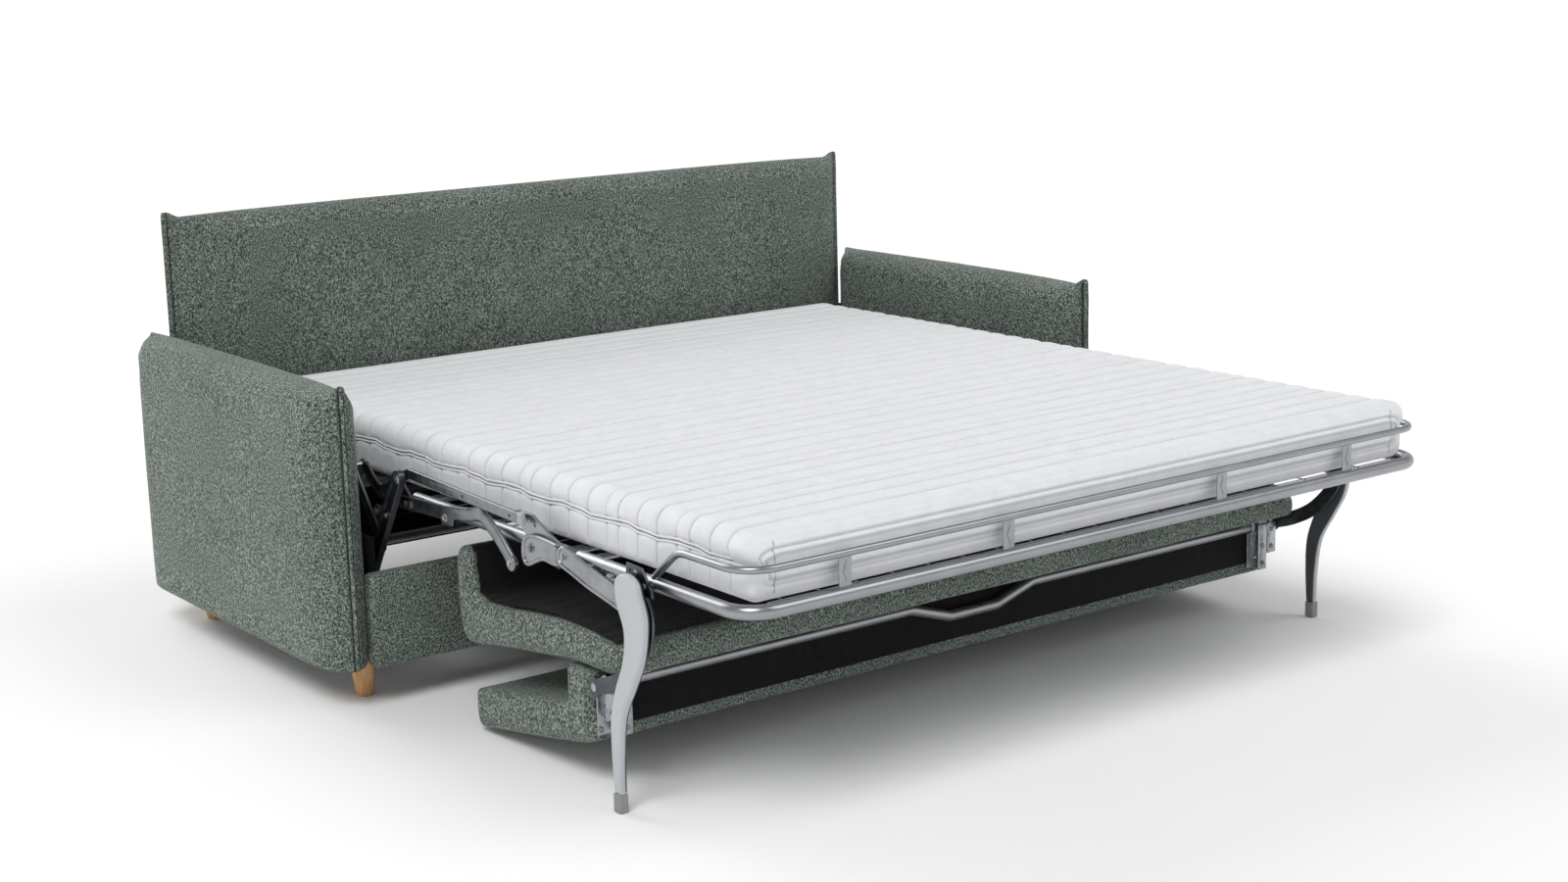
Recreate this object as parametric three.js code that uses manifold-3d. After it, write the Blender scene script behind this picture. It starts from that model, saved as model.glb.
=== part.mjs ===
// Sleeper sofa with a bed that folds out over the front rail, shown with the bed open.
// Millimetres. X runs across the sofa, the sofa faces -Y and Z is up.
import * as THREE from 'three';
import { mergeVertices } from 'three/addons/utils/BufferGeometryUtils.js';
import Module from 'manifold-3d';

const wasm = await Module();
wasm.setup();

// Fits shared by all the pieces
const gap = 0.3; // between pieces that touch
const bite = 1.5; // how far a welded piece runs into its neighbour
const overrun = 5; // how far a cut runs past the face it opens
const roundSides = 14; // facets of a pin or a bore
const tubeSides = 12; // facets of a frame tube

// The bed: lengths along Y of its four sections, and the level of its tube frame
const mattressWidth = 1600;
const mattressThickness = 116;
const headLength = 603;
const foldLength = 176;
const middleLength = 591;
const footLength = 514;
const frameLevel = 403; // centre of the frame tubes above the floor
const tubeRadius = 12.5;
const tubeStandoff = 27; // from the side of the mattress to the centre of a side tube
const crossRadius = 8;
const netThickness = 2.5;
const netRise = 3.2; // underside of the nets above the centre of the frame tubes

const sideTubeX = mattressWidth / 2 + tubeStandoff;
const netBottom = frameLevel + netRise;
const mattressBottom = netBottom + netThickness + gap;
const mattressTop = mattressBottom + mattressThickness;
const crossLevel = netBottom - gap - crossRadius;

// Layers of side plates, from the frame tubes outwards, each one plate and one running gap further out
const plateThickness = 6;
const laneGap = 3;
const lane = (index) => sideTubeX + tubeRadius - bite + index * (plateThickness + laneGap);
const laneEnd = (index) => lane(index) + plateThickness;

// Pivots, as [Y, Z]
const turnPivot = [67, 373.5]; // the middle section turns over about it
const foldRise = 39; // fold pivots above the frame tubes
const foldPivotY = 11;
const foldPivot = [foldPivotY, frameLevel + foldRise];
const headPivot = [foldPivotY + foldLength, frameLevel + foldRise];
const footPivot = [foldPivotY - middleLength, frameLevel];
const liftLength = 180;
const pinRadius = 6;
const pinFit = 0.6; // radial play of a pin in its bore
const bossRadius = 14;

// Where the head pivot comes to lie when the middle section has turned over and the fold links hang down
const closedHeadPivot = [2 * turnPivot[0] - foldPivot[0], 2 * turnPivot[1] - foldPivot[1] - foldLength];
const headTravel = [closedHeadPivot[0] - headPivot[0], closedHeadPivot[1] - headPivot[1]];
const travelLength = Math.hypot(...headTravel);
const liftOffset = Math.sqrt(liftLength ** 2 - (travelLength / 2) ** 2);
const liftPivot = [
  headPivot[0] + headTravel[0] / 2 + (headTravel[1] / travelLength) * liftOffset,
  headPivot[1] + headTravel[1] / 2 - (headTravel[0] / travelLength) * liftOffset,
];
const liftSpacing = 440; // from the front lift links to the rear ones
const rearLiftPivot = [liftPivot[0] + liftSpacing, liftPivot[1]];
const rearHeadPivot = [headPivot[0] + liftSpacing, headPivot[1]];

// The cross tube that carries the seat and the back cushion, below the foot section
const swingReach = 103; // in front of the foot pivot
const swingDrop = 208; // below it
const swingPivot = [footPivot[0] - swingReach, footPivot[1] - swingDrop];
const legPivotReach = 255;
const legPivotDrop = 3;
const legPivot = [footPivot[0] - legPivotReach, footPivot[1] - legPivotDrop];
const frontTubeY = footPivot[0] - footLength;
const from = (pivot, [y, z]) => [pivot[0] + y, pivot[1] + z]; // a place given by its distances from a pivot

// Sofa body
const armDepth = 927;
const armTop = 635;
const bodyBottom = 78; // height of the wooden feet
const armHalfThickness = 58;
const seamHalf = 4; // half thickness of the sewn edge of a panel
const sideStandoff = 16.4; // from the outer lane of plates to the side plate
const sidePlateThickness = 4;
const sideBoardThickness = 8;
const sidePlateX = laneEnd(4) + sideStandoff;
const sideBoardX = sidePlateX + sidePlateThickness + gap;
const armInnerX = sideBoardX + sideBoardThickness + gap;
const armX = armInnerX + armHalfThickness;
const armMiddleY = armDepth / 2;

const finish = (color, roughness, metalness = 0) =>
  new THREE.MeshStandardMaterial({ color, roughness, metalness });
const finishes = {
  cover: () => finish(0x6f7b70, 0.95),
  lining: () => finish(0x17181a, 0.9),
  knit: () => finish(0xe9e9e6, 0.9),
  tube: () => finish(0xa9acae, 0.35, 1),
  plate: () => finish(0x3a3d40, 0.5, 1),
  zinc: () => finish(0xb9bdc0, 0.3, 1),
  legPlastic: () => finish(0xc0c7ca, 0.45),
  cap: () => finish(0xb4b8ba, 0.5),
  rubber: () => finish(0x1d1d1e, 0.8),
  beech: () => finish(0xd8b98c, 0.5),
  net: () => finish(0x8f9396, 0.5, 1),
};

// Shapes

const vector = (x, y, z) => new THREE.Vector3(x, y, z);
const flat = ([a, b]) => new THREE.Vector2(a, b);

// Points of a circle or of part of one
function arc([a, b], radius, sides, from = 0, turn = 2 * Math.PI) {
  const closed = turn === 2 * Math.PI;
  return Array.from({ length: closed ? sides : sides + 1 }, (_, k) => {
    const angle = from + (turn * k) / sides;
    return new THREE.Vector2(a + radius * Math.cos(angle), b + radius * Math.sin(angle));
  });
}

// Outline with round ends along a smooth curve through [Y, Z] points
function strap(route, width, steps = 5) {
  const curve = new THREE.SplineCurve(route.map(flat));
  const count = steps * (route.length - 1);
  const edges = [[], []];
  for (let k = 0; k <= count; k += 1) {
    const point = curve.getPoint(k / count);
    const along = curve.getTangent(k / count);
    const across = new THREE.Vector2(-along.y, along.x).multiplyScalar(width / 2);
    edges[0].push(point.clone().add(across));
    edges[1].push(point.clone().sub(across));
  }
  const endAngle = curve.getTangent(1).angle();
  const startAngle = curve.getTangent(0).angle();
  const capSteps = 8;
  const last = curve.getPoint(1);
  const first = curve.getPoint(0);
  const endCap = arc([last.x, last.y], width / 2, capSteps, endAngle + Math.PI / 2, -Math.PI);
  const startCap = arc([first.x, first.y], width / 2, capSteps, startAngle - Math.PI / 2, -Math.PI);
  return [...edges[0], ...endCap.slice(1, -1), ...edges[1].reverse(), ...startCap.slice(1, -1)];
}

// Plate that stands across X: its outline is in Y and Z, its inner face is at the distance x from the centre
function plate(side, outline, holes, x, thickness) {
  const shape = new THREE.Shape(outline);
  shape.holes = holes.map((hole) => new THREE.Path(hole));
  const geometry = new THREE.ExtrudeGeometry(shape, { depth: thickness, bevelEnabled: false });
  geometry.applyMatrix4(new THREE.Matrix4().makeBasis(vector(0, 1, 0), vector(0, 0, 1), vector(1, 0, 0)));
  return geometry.translate(side > 0 ? x : -x - thickness, 0, 0);
}

// Round bar along X between two distances from the centre
function pin(side, [y, z], from, to, radius, sides = roundSides) {
  const geometry = new THREE.CylinderGeometry(radius, radius, Math.abs(to - from), sides);
  geometry.rotateZ(Math.PI / 2);
  return geometry.translate((side * (from + to)) / 2, y, z);
}

// Box from its lowest to its highest corner
function block([x0, y0, z0], [x1, y1, z1]) {
  const geometry = new THREE.BoxGeometry(x1 - x0, y1 - y0, z1 - z0);
  return geometry.translate((x0 + x1) / 2, (y0 + y1) / 2, (z0 + z1) / 2);
}

// Path that places one tube section on each of its points
class Route extends THREE.Curve {
  constructor(points) {
    super();
    this.points = points;
  }

  getPointAt(u, target = new THREE.Vector3()) {
    const place = u * (this.points.length - 1);
    const before = Math.min(Math.floor(place), this.points.length - 2);
    return target.lerpVectors(this.points[before], this.points[before + 1], place - before);
  }

  getTangentAt(u, target = new THREE.Vector3()) {
    const last = this.points.length - 1;
    const at = Math.round(u * last);
    const before = this.points[Math.max(at - 1, 0)];
    const here = this.points[at];
    const after = this.points[Math.min(at + 1, last)];
    const arriving = here.clone().sub(before).normalize();
    const leaving = after.clone().sub(here).normalize();
    return target.copy(arriving.add(leaving)).normalize();
  }
}

// Tube bent round its corners
function bentTube(corners, radius, bend = 0, sides = tubeSides, steps = 5) {
  const points = [corners[0]];
  for (let k = 1; k < corners.length - 1; k += 1) {
    const toBefore = corners[k - 1].clone().sub(corners[k]).normalize();
    const toAfter = corners[k + 1].clone().sub(corners[k]).normalize();
    const halfAngle = toBefore.angleTo(toAfter) / 2;
    const reach = bend / Math.tan(halfAngle);
    const middle = toBefore.clone().add(toAfter).normalize();
    const centre = corners[k].clone().addScaledVector(middle, bend / Math.sin(halfAngle));
    const start = corners[k].clone().addScaledVector(toBefore, reach).sub(centre);
    const end = corners[k].clone().addScaledVector(toAfter, reach).sub(centre);
    const axis = start.clone().cross(end).normalize();
    const turn = start.angleTo(end);
    for (let step = 0; step <= steps; step += 1) {
      points.push(start.clone().applyAxisAngle(axis, (turn * step) / steps).add(centre));
    }
  }
  points.push(corners[corners.length - 1]);
  const section = new THREE.Shape(arc([0, 0], radius, sides, Math.PI / sides));
  const path = new Route(points);
  return new THREE.ExtrudeGeometry(section, { steps: points.length - 1, extrudePath: path });
}

const turned = ([a, b, c]) => [a, c, b];

// Triangles that close a flat ring and run round the same way as it does
function capOf(ring) {
  const contour = ring.map(flat);
  const triangles = THREE.ShapeUtils.triangulateShape(contour, []);
  const sense = THREE.ShapeUtils.area(triangles[0].map((index) => contour[index]));
  return sense * THREE.ShapeUtils.area(contour) > 0 ? triangles : triangles.map(turned);
}

// Closed skin over rings of equally many points, each ring lying square to the named axis
function skin(axis, stations) {
  const place = {
    x: (at, [a, b]) => [at, a, b],
    y: (at, [a, b]) => [a, at, b],
  }[axis];
  const count = stations[0].ring.length;
  const positions = stations.flatMap(({ at, ring }) => ring.flatMap((point) => place(at, point)));
  const triangles = [];
  for (let row = 0; row < stations.length - 1; row += 1) {
    for (let k = 0; k < count; k += 1) {
      const next = (k + 1) % count;
      const [a, b, c, d] = [k, next, count + next, count + k].map((index) => row * count + index);
      triangles.push([a, b, c], [a, c, d]);
    }
  }
  const last = (stations.length - 1) * count;
  triangles.push(...capOf(stations[0].ring).map(turned));
  const lastCap = capOf(stations[stations.length - 1].ring);
  triangles.push(...lastCap.map((corners) => corners.map((index) => index + last)));
  const geometry = new THREE.BufferGeometry();
  geometry.setAttribute('position', new THREE.Float32BufferAttribute(positions, 3));
  geometry.setIndex(triangles.flat());
  return facingOut(geometry);
}

// Turns a closed skin whose faces point inwards
function facingOut(geometry) {
  const { array } = geometry.attributes.position;
  const index = geometry.index.array;
  let volume = 0;
  for (let k = 0; k < index.length; k += 3) {
    const [p, q, r] = [0, 1, 2].map((corner) => new THREE.Vector3().fromArray(array, 3 * index[k + corner]));
    volume += p.dot(q.cross(r));
  }
  if (volume < 0) {
    for (let k = 0; k < index.length; k += 3) [index[k + 1], index[k + 2]] = [index[k + 2], index[k + 1]];
  }
  geometry.computeVertexNormals();
  return geometry;
}

// Solids that are joined or cut

function solid(geometry) {
  const plain = geometry.clone();
  plain.deleteAttribute('normal');
  plain.deleteAttribute('uv');
  const merged = mergeVertices(plain);
  const vertProperties = new Float32Array(merged.attributes.position.array);
  const triVerts = new Uint32Array(merged.index.array);
  return new wasm.Manifold(new wasm.Mesh({ numProp: 3, vertProperties, triVerts }));
}

function geometryOf(manifold) {
  const mesh = manifold.getMesh();
  const geometry = new THREE.BufferGeometry();
  geometry.setAttribute('position', new THREE.BufferAttribute(mesh.vertProperties, 3));
  geometry.setIndex(new THREE.BufferAttribute(mesh.triVerts, 1));
  geometry.computeVertexNormals();
  return geometry;
}

const joined = (...pieces) => geometryOf(pieces.map(solid).reduce((whole, next) => whole.add(next)));
const cut = (piece, ...tools) =>
  geometryOf(tools.map(solid).reduce((rest, tool) => rest.subtract(tool), solid(piece)));

const sofa = new THREE.Group();

function add(name, geometry, material) {
  const mesh = new THREE.Mesh(geometry, material);
  mesh.name = name;
  sofa.add(mesh);
}

const sides = [['left', -1], ['right', 1]];
const bore = (centre) => arc(centre, pinRadius + pinFit, roundSides);
const washerRadius = 10;
const washerThickness = 2;

// Upholstered body

// Swelling of a sewn panel, for a share of the half width: 1 in the middle, 0 at an edge seam
const swellPower = 0.7;
const panelSwell = (share, fullness) => (1 - Math.min(Math.abs(share), 1) ** fullness) ** swellPower;

// Ring of a pillow panel: two faces and a round top, around the middle line at a
function panelRing(a, half, bottom, top, crown) {
  const crownSteps = 6;
  const footing = Math.min(half, crown) / 4;
  const ring = [[a - half + footing, bottom], [a + half - footing, bottom], [a + half, bottom + footing]];
  for (let k = 0; k <= crownSteps; k += 1) {
    const angle = (Math.PI * k) / crownSteps;
    ring.push([a + half * Math.cos(angle), top - crown + crown * Math.sin(angle)]);
  }
  ring.push([a - half, bottom + footing]);
  return ring;
}

const armCrown = 46;
const earRise = 9; // how far the sewn corners stand above the top
const topDip = 11; // how far the top sinks beside them
const armFullness = 6;
const armStationShares = [-1, -0.985, -0.95, -0.88, -0.72, -0.5, 0, 0.5, 0.72, 0.88, 0.95, 0.985, 1];
const armTopShares = [1, 0.4, -0.7, -1, -0.5, -0.15, 0, -0.15, -0.5, -1, -0.7, 0.4, 1];
const armHalfAt = (y) => {
  const share = (y - armMiddleY) / armMiddleY;
  return seamHalf + (armHalfThickness - seamHalf) * panelSwell(share, armFullness);
};

// Level of a panel's top: a share above zero lifts it towards the ears, one below zero lets it dip
const ridge = (share, top) => top + (share > 0 ? earRise : topDip) * share;

function buildArms() {
  for (const [name, side] of sides) {
    const stations = armStationShares.map((share, k) => {
      const at = armMiddleY * (1 + share);
      const half = armHalfAt(at);
      const top = ridge(armTopShares[k], armTop);
      return { at, ring: panelRing(side * armX, half, bodyBottom, top, Math.min(armCrown, 2 * half)) };
    });
    add(`arm_${name}`, skin('y', stations), finishes.cover());
  }
}

const backHalfWidth = 923;
const backHalfThickness = 45;
const backRear = 961;
const backTop = 890;
const backY = backRear - backHalfThickness;
const backFront = backY - backHalfThickness;
const backFullness = 8;
const backStationShares = [-1, -0.99, -0.965, -0.92, -0.8, -0.5, 0, 0.5, 0.8, 0.92, 0.965, 0.99, 1];
const backTopShares = [1, 0.3, -0.4, -0.5, -0.3, 0, 0.1, 0, -0.3, -0.5, -0.4, 0.3, 1];

function buildBack() {
  const stations = backStationShares.map((share, k) => {
    const half = seamHalf + (backHalfThickness - seamHalf) * panelSwell(share, backFullness);
    const top = ridge(backTopShares[k], backTop);
    const ring = panelRing(backY, half, bodyBottom, top, Math.min(armCrown, 2 * half));
    return { at: backHalfWidth * share, ring };
  });
  add('back_panel', skin('x', stations), finishes.cover());
}

const boardThickness = 8.7;
const boardTop = 500;
const boardRear = backFront - gap;
const boardFront = boardRear - boardThickness;
const railFront = 2;
const railDepth = 38;
const railTop = 265;
const railRear = railFront + railDepth;
const railRound = 10;
const boardFloor = 85; // underside of the side boards above the floor
const sideBoardTop = 330;
const rearRailDepth = 30;
const rearRailTop = 150;

// Ring of a rounded bar: a box in two axes with its corners taken off in two steps
function roundedRing(a0, a1, b0, b1, round) {
  const cornerSteps = 2;
  const corners = [[a1 - round, b0 + round, -0.5], [a1 - round, b1 - round, 0],
    [a0 + round, b1 - round, 0.5], [a0 + round, b0 + round, 1]];
  return corners.flatMap(([a, b, turn]) =>
    arc([a, b], round, cornerSteps, turn * Math.PI, Math.PI / 2).map((point) => [point.x, point.y]));
}

function buildBoards() {
  const boardHalf = sideBoardX - gap;
  const backBoard = block([-boardHalf, boardFront, boardFloor], [boardHalf, boardRear, boardTop]);
  add('back_board', backBoard, finishes.lining());
  const railHalf = armX - armHalfAt(railRear) - gap;
  const endDraw = railRound / 2;
  const railStation = (at, draw) => ({
    at,
    ring: roundedRing(railFront + draw, railRear, bodyBottom, railTop - draw, railRound),
  });
  const railStations = [railStation(-railHalf, endDraw), railStation(-railHalf + railRound, 0),
    railStation(railHalf - railRound, 0), railStation(railHalf, endDraw)];
  add('front_rail', skin('x', railStations), finishes.cover());
  const rearRailRear = boardFront - gap;
  const rearRailHalf = sidePlateX - gap;
  const rearRail = block([-rearRailHalf, rearRailRear - rearRailDepth, boardFloor],
    [rearRailHalf, rearRailRear, rearRailTop]);
  add('rear_rail', rearRail, finishes.lining());
  for (const [name, side] of sides) {
    const outline = [[railRear + gap, boardFloor], [backFront - gap, boardFloor],
      [backFront - gap, sideBoardTop], [railRear + gap, sideBoardTop]].map(flat);
    add(`side_board_${name}`, plate(side, outline, [], sideBoardX, sideBoardThickness), finishes.lining());
  }
}

const footTopRadius = 27;
const footBottomRadius = 17;
const footX = 912;
const footInset = 101; // from the front or rear edge of an arm to the middle of a foot
const footBevel = 3;

function buildFeet() {
  const height = bodyBottom - gap;
  const profile = [[0, 0], [footBottomRadius - footBevel, 0], [footBottomRadius, footBevel],
    [footTopRadius, height - footBevel], [footTopRadius - footBevel, height], [0, height]];
  for (const [name, side] of sides) {
    for (const [end, y] of [['front', footInset], ['rear', armDepth - footInset]]) {
      const geometry = new THREE.LatheGeometry(profile.map(flat), roundSides);
      geometry.rotateX(Math.PI / 2);
      add(`foot_${end}_${name}`, geometry.translate(side * footX, y, 0), finishes.beech());
    }
  }
}

// Steelwork fixed to the body

const sidePlateStart = railRear + 8;
const sidePlateEnd = rearLiftPivot[0] + 176;
const sidePlateBottom = boardFloor + 7;
const sidePlateTop = sideBoardTop - 2;
const sidePlateCorner = 60; // cut off the plate's rear top corner
const baseTubeRadius = 12;
const frontBaseTube = [sidePlateStart + 27, sidePlateBottom + 8];
const rearBaseTube = [boardFront - 50, sidePlateBottom + 16];
const uprightWidth = 28;
const uprightFoot = from(turnPivot, [51, -149.5]);
const uprightHead = from(turnPivot, [-96, 81.5]);
const uprightBossRadius = 13;
const uprightNeckShare = 0.56; // of the way from foot to head, where the lobe of the turning pivot leaves
const uprightNeck = [0, 1].map((axis) =>
  uprightFoot[axis] + uprightNeckShare * (uprightHead[axis] - uprightFoot[axis]));
const uprightFixings = [uprightFoot, from(uprightFoot, [-22, 34])];

function buildBase() {
  for (const [name, side] of sides) {
    const outline = [[sidePlateStart, sidePlateBottom], [sidePlateEnd, sidePlateBottom],
      [sidePlateEnd, sidePlateTop - sidePlateCorner], [sidePlateEnd - sidePlateCorner, sidePlateTop],
      [sidePlateStart, sidePlateTop]].map(flat);
    const rearBoss = pin(side, rearLiftPivot, sidePlateX + bite, lane(4), bossRadius);
    const rearBore = pin(side, rearLiftPivot, lane(4) - overrun, sidePlateX + sidePlateThickness + overrun,
      pinRadius + pinFit);
    const sidePlate = plate(side, outline, [], sidePlateX, sidePlateThickness);
    add(`side_plate_${name}`, cut(joined(sidePlate, rearBoss), rearBore), finishes.plate());

    const arm = plate(side, strap([uprightFoot, uprightHead], uprightWidth, 1), [], lane(4), plateThickness);
    const lobe = plate(side, strap([turnPivot, uprightNeck], 2 * bossRadius, 1), [], lane(4), plateThickness);
    const lowLobe = plate(side, arc(liftPivot, bossRadius, roundSides), [], lane(4), plateThickness);
    const fixings = uprightFixings.map((place) =>
      pin(side, place, laneEnd(4) - bite, sidePlateX - gap, uprightBossRadius));
    const boltHead = pin(side, uprightHead, lane(4) - washerThickness, lane(4) + bite, washerRadius, 6);
    const bores = [turnPivot, liftPivot].map((place) =>
      pin(side, place, lane(4) - overrun, laneEnd(4) + overrun, pinRadius + pinFit));
    add(`upright_${name}`, cut(joined(arm, lobe, lowLobe, ...fixings, boltHead), ...bores), finishes.plate());
  }
  const reach = sidePlateX - gap;
  add('base_tube_front', pin(1, frontBaseTube, -reach, reach, baseTubeRadius, tubeSides), finishes.tube());
  const rearReach = sideBoardX - gap;
  const rearTube = pin(1, rearBaseTube, -rearReach, rearReach, baseTubeRadius, tubeSides);
  add('base_tube_rear', rearTube, finishes.tube());
}

// Lift links, which lower the head section

const linkWidth = 26;

function buildLiftLinks() {
  const ends = [['front', liftPivot, headPivot, laneEnd(4) + bite],
    ['rear', rearLiftPivot, rearHeadPivot, sidePlateX]];
  for (const [name, side] of sides) {
    for (const [end, low, high, pinEnd] of ends) {
      const link = plate(side, strap([low, high], linkWidth, 1), [bore(high)], lane(3), plateThickness);
      const lowPin = pin(side, low, lane(3) + bite, pinEnd, pinRadius);
      const head = pin(side, low, lane(3) - washerThickness, lane(3) + bite, washerRadius);
      add(`lift_link_${end}_${name}`, joined(link, lowPin, head), finishes.plate());
    }
  }
}

// Nets: flat mats of welded wire with a row of openings along each wire

const netEdge = 18;
const netWire = 5;
const netPitchX = 270;
const netPitchY = 120;
const netHalf = sideTubeX - Math.sqrt(tubeRadius ** 2 - netRise ** 2) - gap;

function net(name, start, end, ...tools) {
  const mat = block([-netHalf, start, netBottom], [netHalf, end, netBottom + netThickness]);
  const columns = Math.round((2 * netHalf - 2 * netEdge) / netPitchX);
  const rows = Math.max(1, Math.round((end - start - 2 * netEdge) / netPitchY));
  const stepX = (2 * netHalf - 2 * netEdge) / columns;
  const stepY = (end - start - 2 * netEdge) / rows;
  const openings = [];
  for (let column = 0; column < columns; column += 1) {
    for (let row = 0; row < rows; row += 1) {
      const x = -netHalf + netEdge + column * stepX + netWire / 2;
      const y = start + netEdge + row * stepY + netWire / 2;
      openings.push(block([x, y, netBottom - overrun],
        [x + stepX - netWire, y + stepY - netWire, netBottom + netThickness + overrun]));
    }
  }
  add(name, cut(mat, ...openings, ...tools), finishes.net());
}

// Mattress sections with sewn channels across them

const channelPitch = 60;
const channelDepth = 6;
const cornerRound = 24;
const borderDraw = 12; // how far the sewn border pulls in above and below its middle
const cutGap = 0.6;

function mattressRing(half, top, draw) {
  const middle = mattressBottom + mattressThickness / 2;
  const low = mattressBottom + draw;
  const right = [[half - cornerRound, low], [half - draw, low + cornerRound / 2], [half, middle],
    [half - draw, top - cornerRound], [half - cornerRound / 2, top - cornerRound / 4],
    [half - 2 * cornerRound, top]];
  const left = right.map(([x, z]) => [-x, z]).reverse();
  return [...right, ...left];
}

function mattress(name, start, end, roundStart, roundEnd) {
  const half = mattressWidth / 2;
  const channels = Math.round((end - start) / channelPitch);
  const pitch = (end - start) / channels;
  const puffShares = [0, 0.75, 1, 0.75];
  const stations = [];
  for (let k = 0; k <= channels * puffShares.length; k += 1) {
    const at = start + (pitch * k) / puffShares.length;
    const sunk = channelDepth * (1 - puffShares[k % puffShares.length]);
    const atStart = roundStart && k === 0;
    const atEnd = roundEnd && k === channels * puffShares.length;
    const draw = atStart || atEnd ? borderDraw : sunk / 2;
    const top = mattressTop - (atStart || atEnd ? borderDraw : sunk);
    stations.push({ at, ring: mattressRing(half - draw, top, Math.max(draw - sunk, 0)) });
  }
  add(name, skin('y', stations), finishes.knit());
}

// Head section

const headFrameStart = headPivot[0] + 18;
const headFrameEnd = headPivot[0] + headLength - 30;
const headCrossInset = 12; // from the ends of the side tubes to the cross tubes
const headCrossRear = headFrameEnd - headCrossInset;

const crossTube = (y, radius = crossRadius) =>
  pin(1, [y, crossLevel], -sideTubeX, sideTubeX, radius, tubeSides);
const sideTube = (side, start, end) => bentTube(
  [vector(side * sideTubeX, start, frameLevel), vector(side * sideTubeX, end, frameLevel)], tubeRadius);

function buildHead() {
  const pieces = [crossTube(headFrameStart + headCrossInset), crossTube(headCrossRear)];
  for (const [, side] of sides) {
    pieces.push(sideTube(side, headFrameStart, headFrameEnd));
    const lugs = [[headPivot, headFrameStart + bossRadius], [rearHeadPivot, rearHeadPivot[0]]];
    for (const [pivot, foot] of lugs) {
      const lug = strap([pivot, [foot, frameLevel]], linkWidth, 1);
      pieces.push(plate(side, lug, [], lane(0), plateThickness));
      pieces.push(pin(side, pivot, lane(0) + bite, laneEnd(3) + laneGap / 2, pinRadius));
      pieces.push(pin(side, pivot, laneEnd(0) - bite, lane(3) - laneGap, washerRadius - washerThickness));
    }
  }
  add('head_frame', joined(...pieces), finishes.tube());
  net('head_net', headFrameStart, headFrameEnd);
  mattress('mattress_head', headPivot[0] + cutGap / 2, headPivot[0] + headLength, false, true);
}

// Fold links and the short section between them

const foldBarRadius = 8;
const foldDip = 37; // how far the links sink below their pivots half way

function buildFold() {
  const middleY = foldPivot[0] + foldLength / 2;
  const saddle = headPivot[0] - washerRadius - laneGap;
  const bar = [middleY, crossLevel + crossRadius - foldBarRadius];
  const pieces = [pin(1, bar, -laneEnd(1) + bite, laneEnd(1) - bite, foldBarRadius, tubeSides)];
  for (const [, side] of sides) {
    const route = [foldPivot, [middleY, foldPivot[1] - foldDip], [saddle - bossRadius, headPivot[1]]];
    const outline = strap(route, linkWidth);
    pieces.push(plate(side, outline, [bore(foldPivot)], lane(1), plateThickness));
  }
  add('fold_frame', joined(...pieces), finishes.plate());
  mattress('mattress_fold', foldPivot[0] + cutGap / 2, headPivot[0] - cutGap / 2, false, false);
}

// Middle section

const sectionInset = 20; // from the foot pivot to the ends of the side tubes on both sides of it
const middleFrameRear = foldPivotY - 15;
const middleFrameFront = footPivot[0] + sectionInset;
const middleCrossInset = 15;
const hingeStandoff = [foldPivotY - 51, frameLevel];
const barHeight = 20;
const barThickness = 9;
const barStart = from(foldPivot, [-50, 21]);
const barEnd = from(foldPivot, [-457, 8]);
const capLength = 16;
const braceRoute = [[-75, -29.5], [-194, -32]].map((place) => from(foldPivot, place));
const braceBolt = from(foldPivot, [-190, -38]);
const braceStud = [foldPivotY - 135, frameLevel];
const braceHeight = 18;
const studRadius = 8;
const bendRoute = [[-205, -28], [-273, -19], [-322, -12], [-377, -40], [-429, -80]]
  .map((place) => from(foldPivot, place));
const bendWidth = 24;
const gussetOutline = [[150, 55], [110, 54], [60, 31], [14, 16], [-14, 9], [-14, -10], [110, -12], [150, 27]]
  .map((place) => from(footPivot, place));

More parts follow.
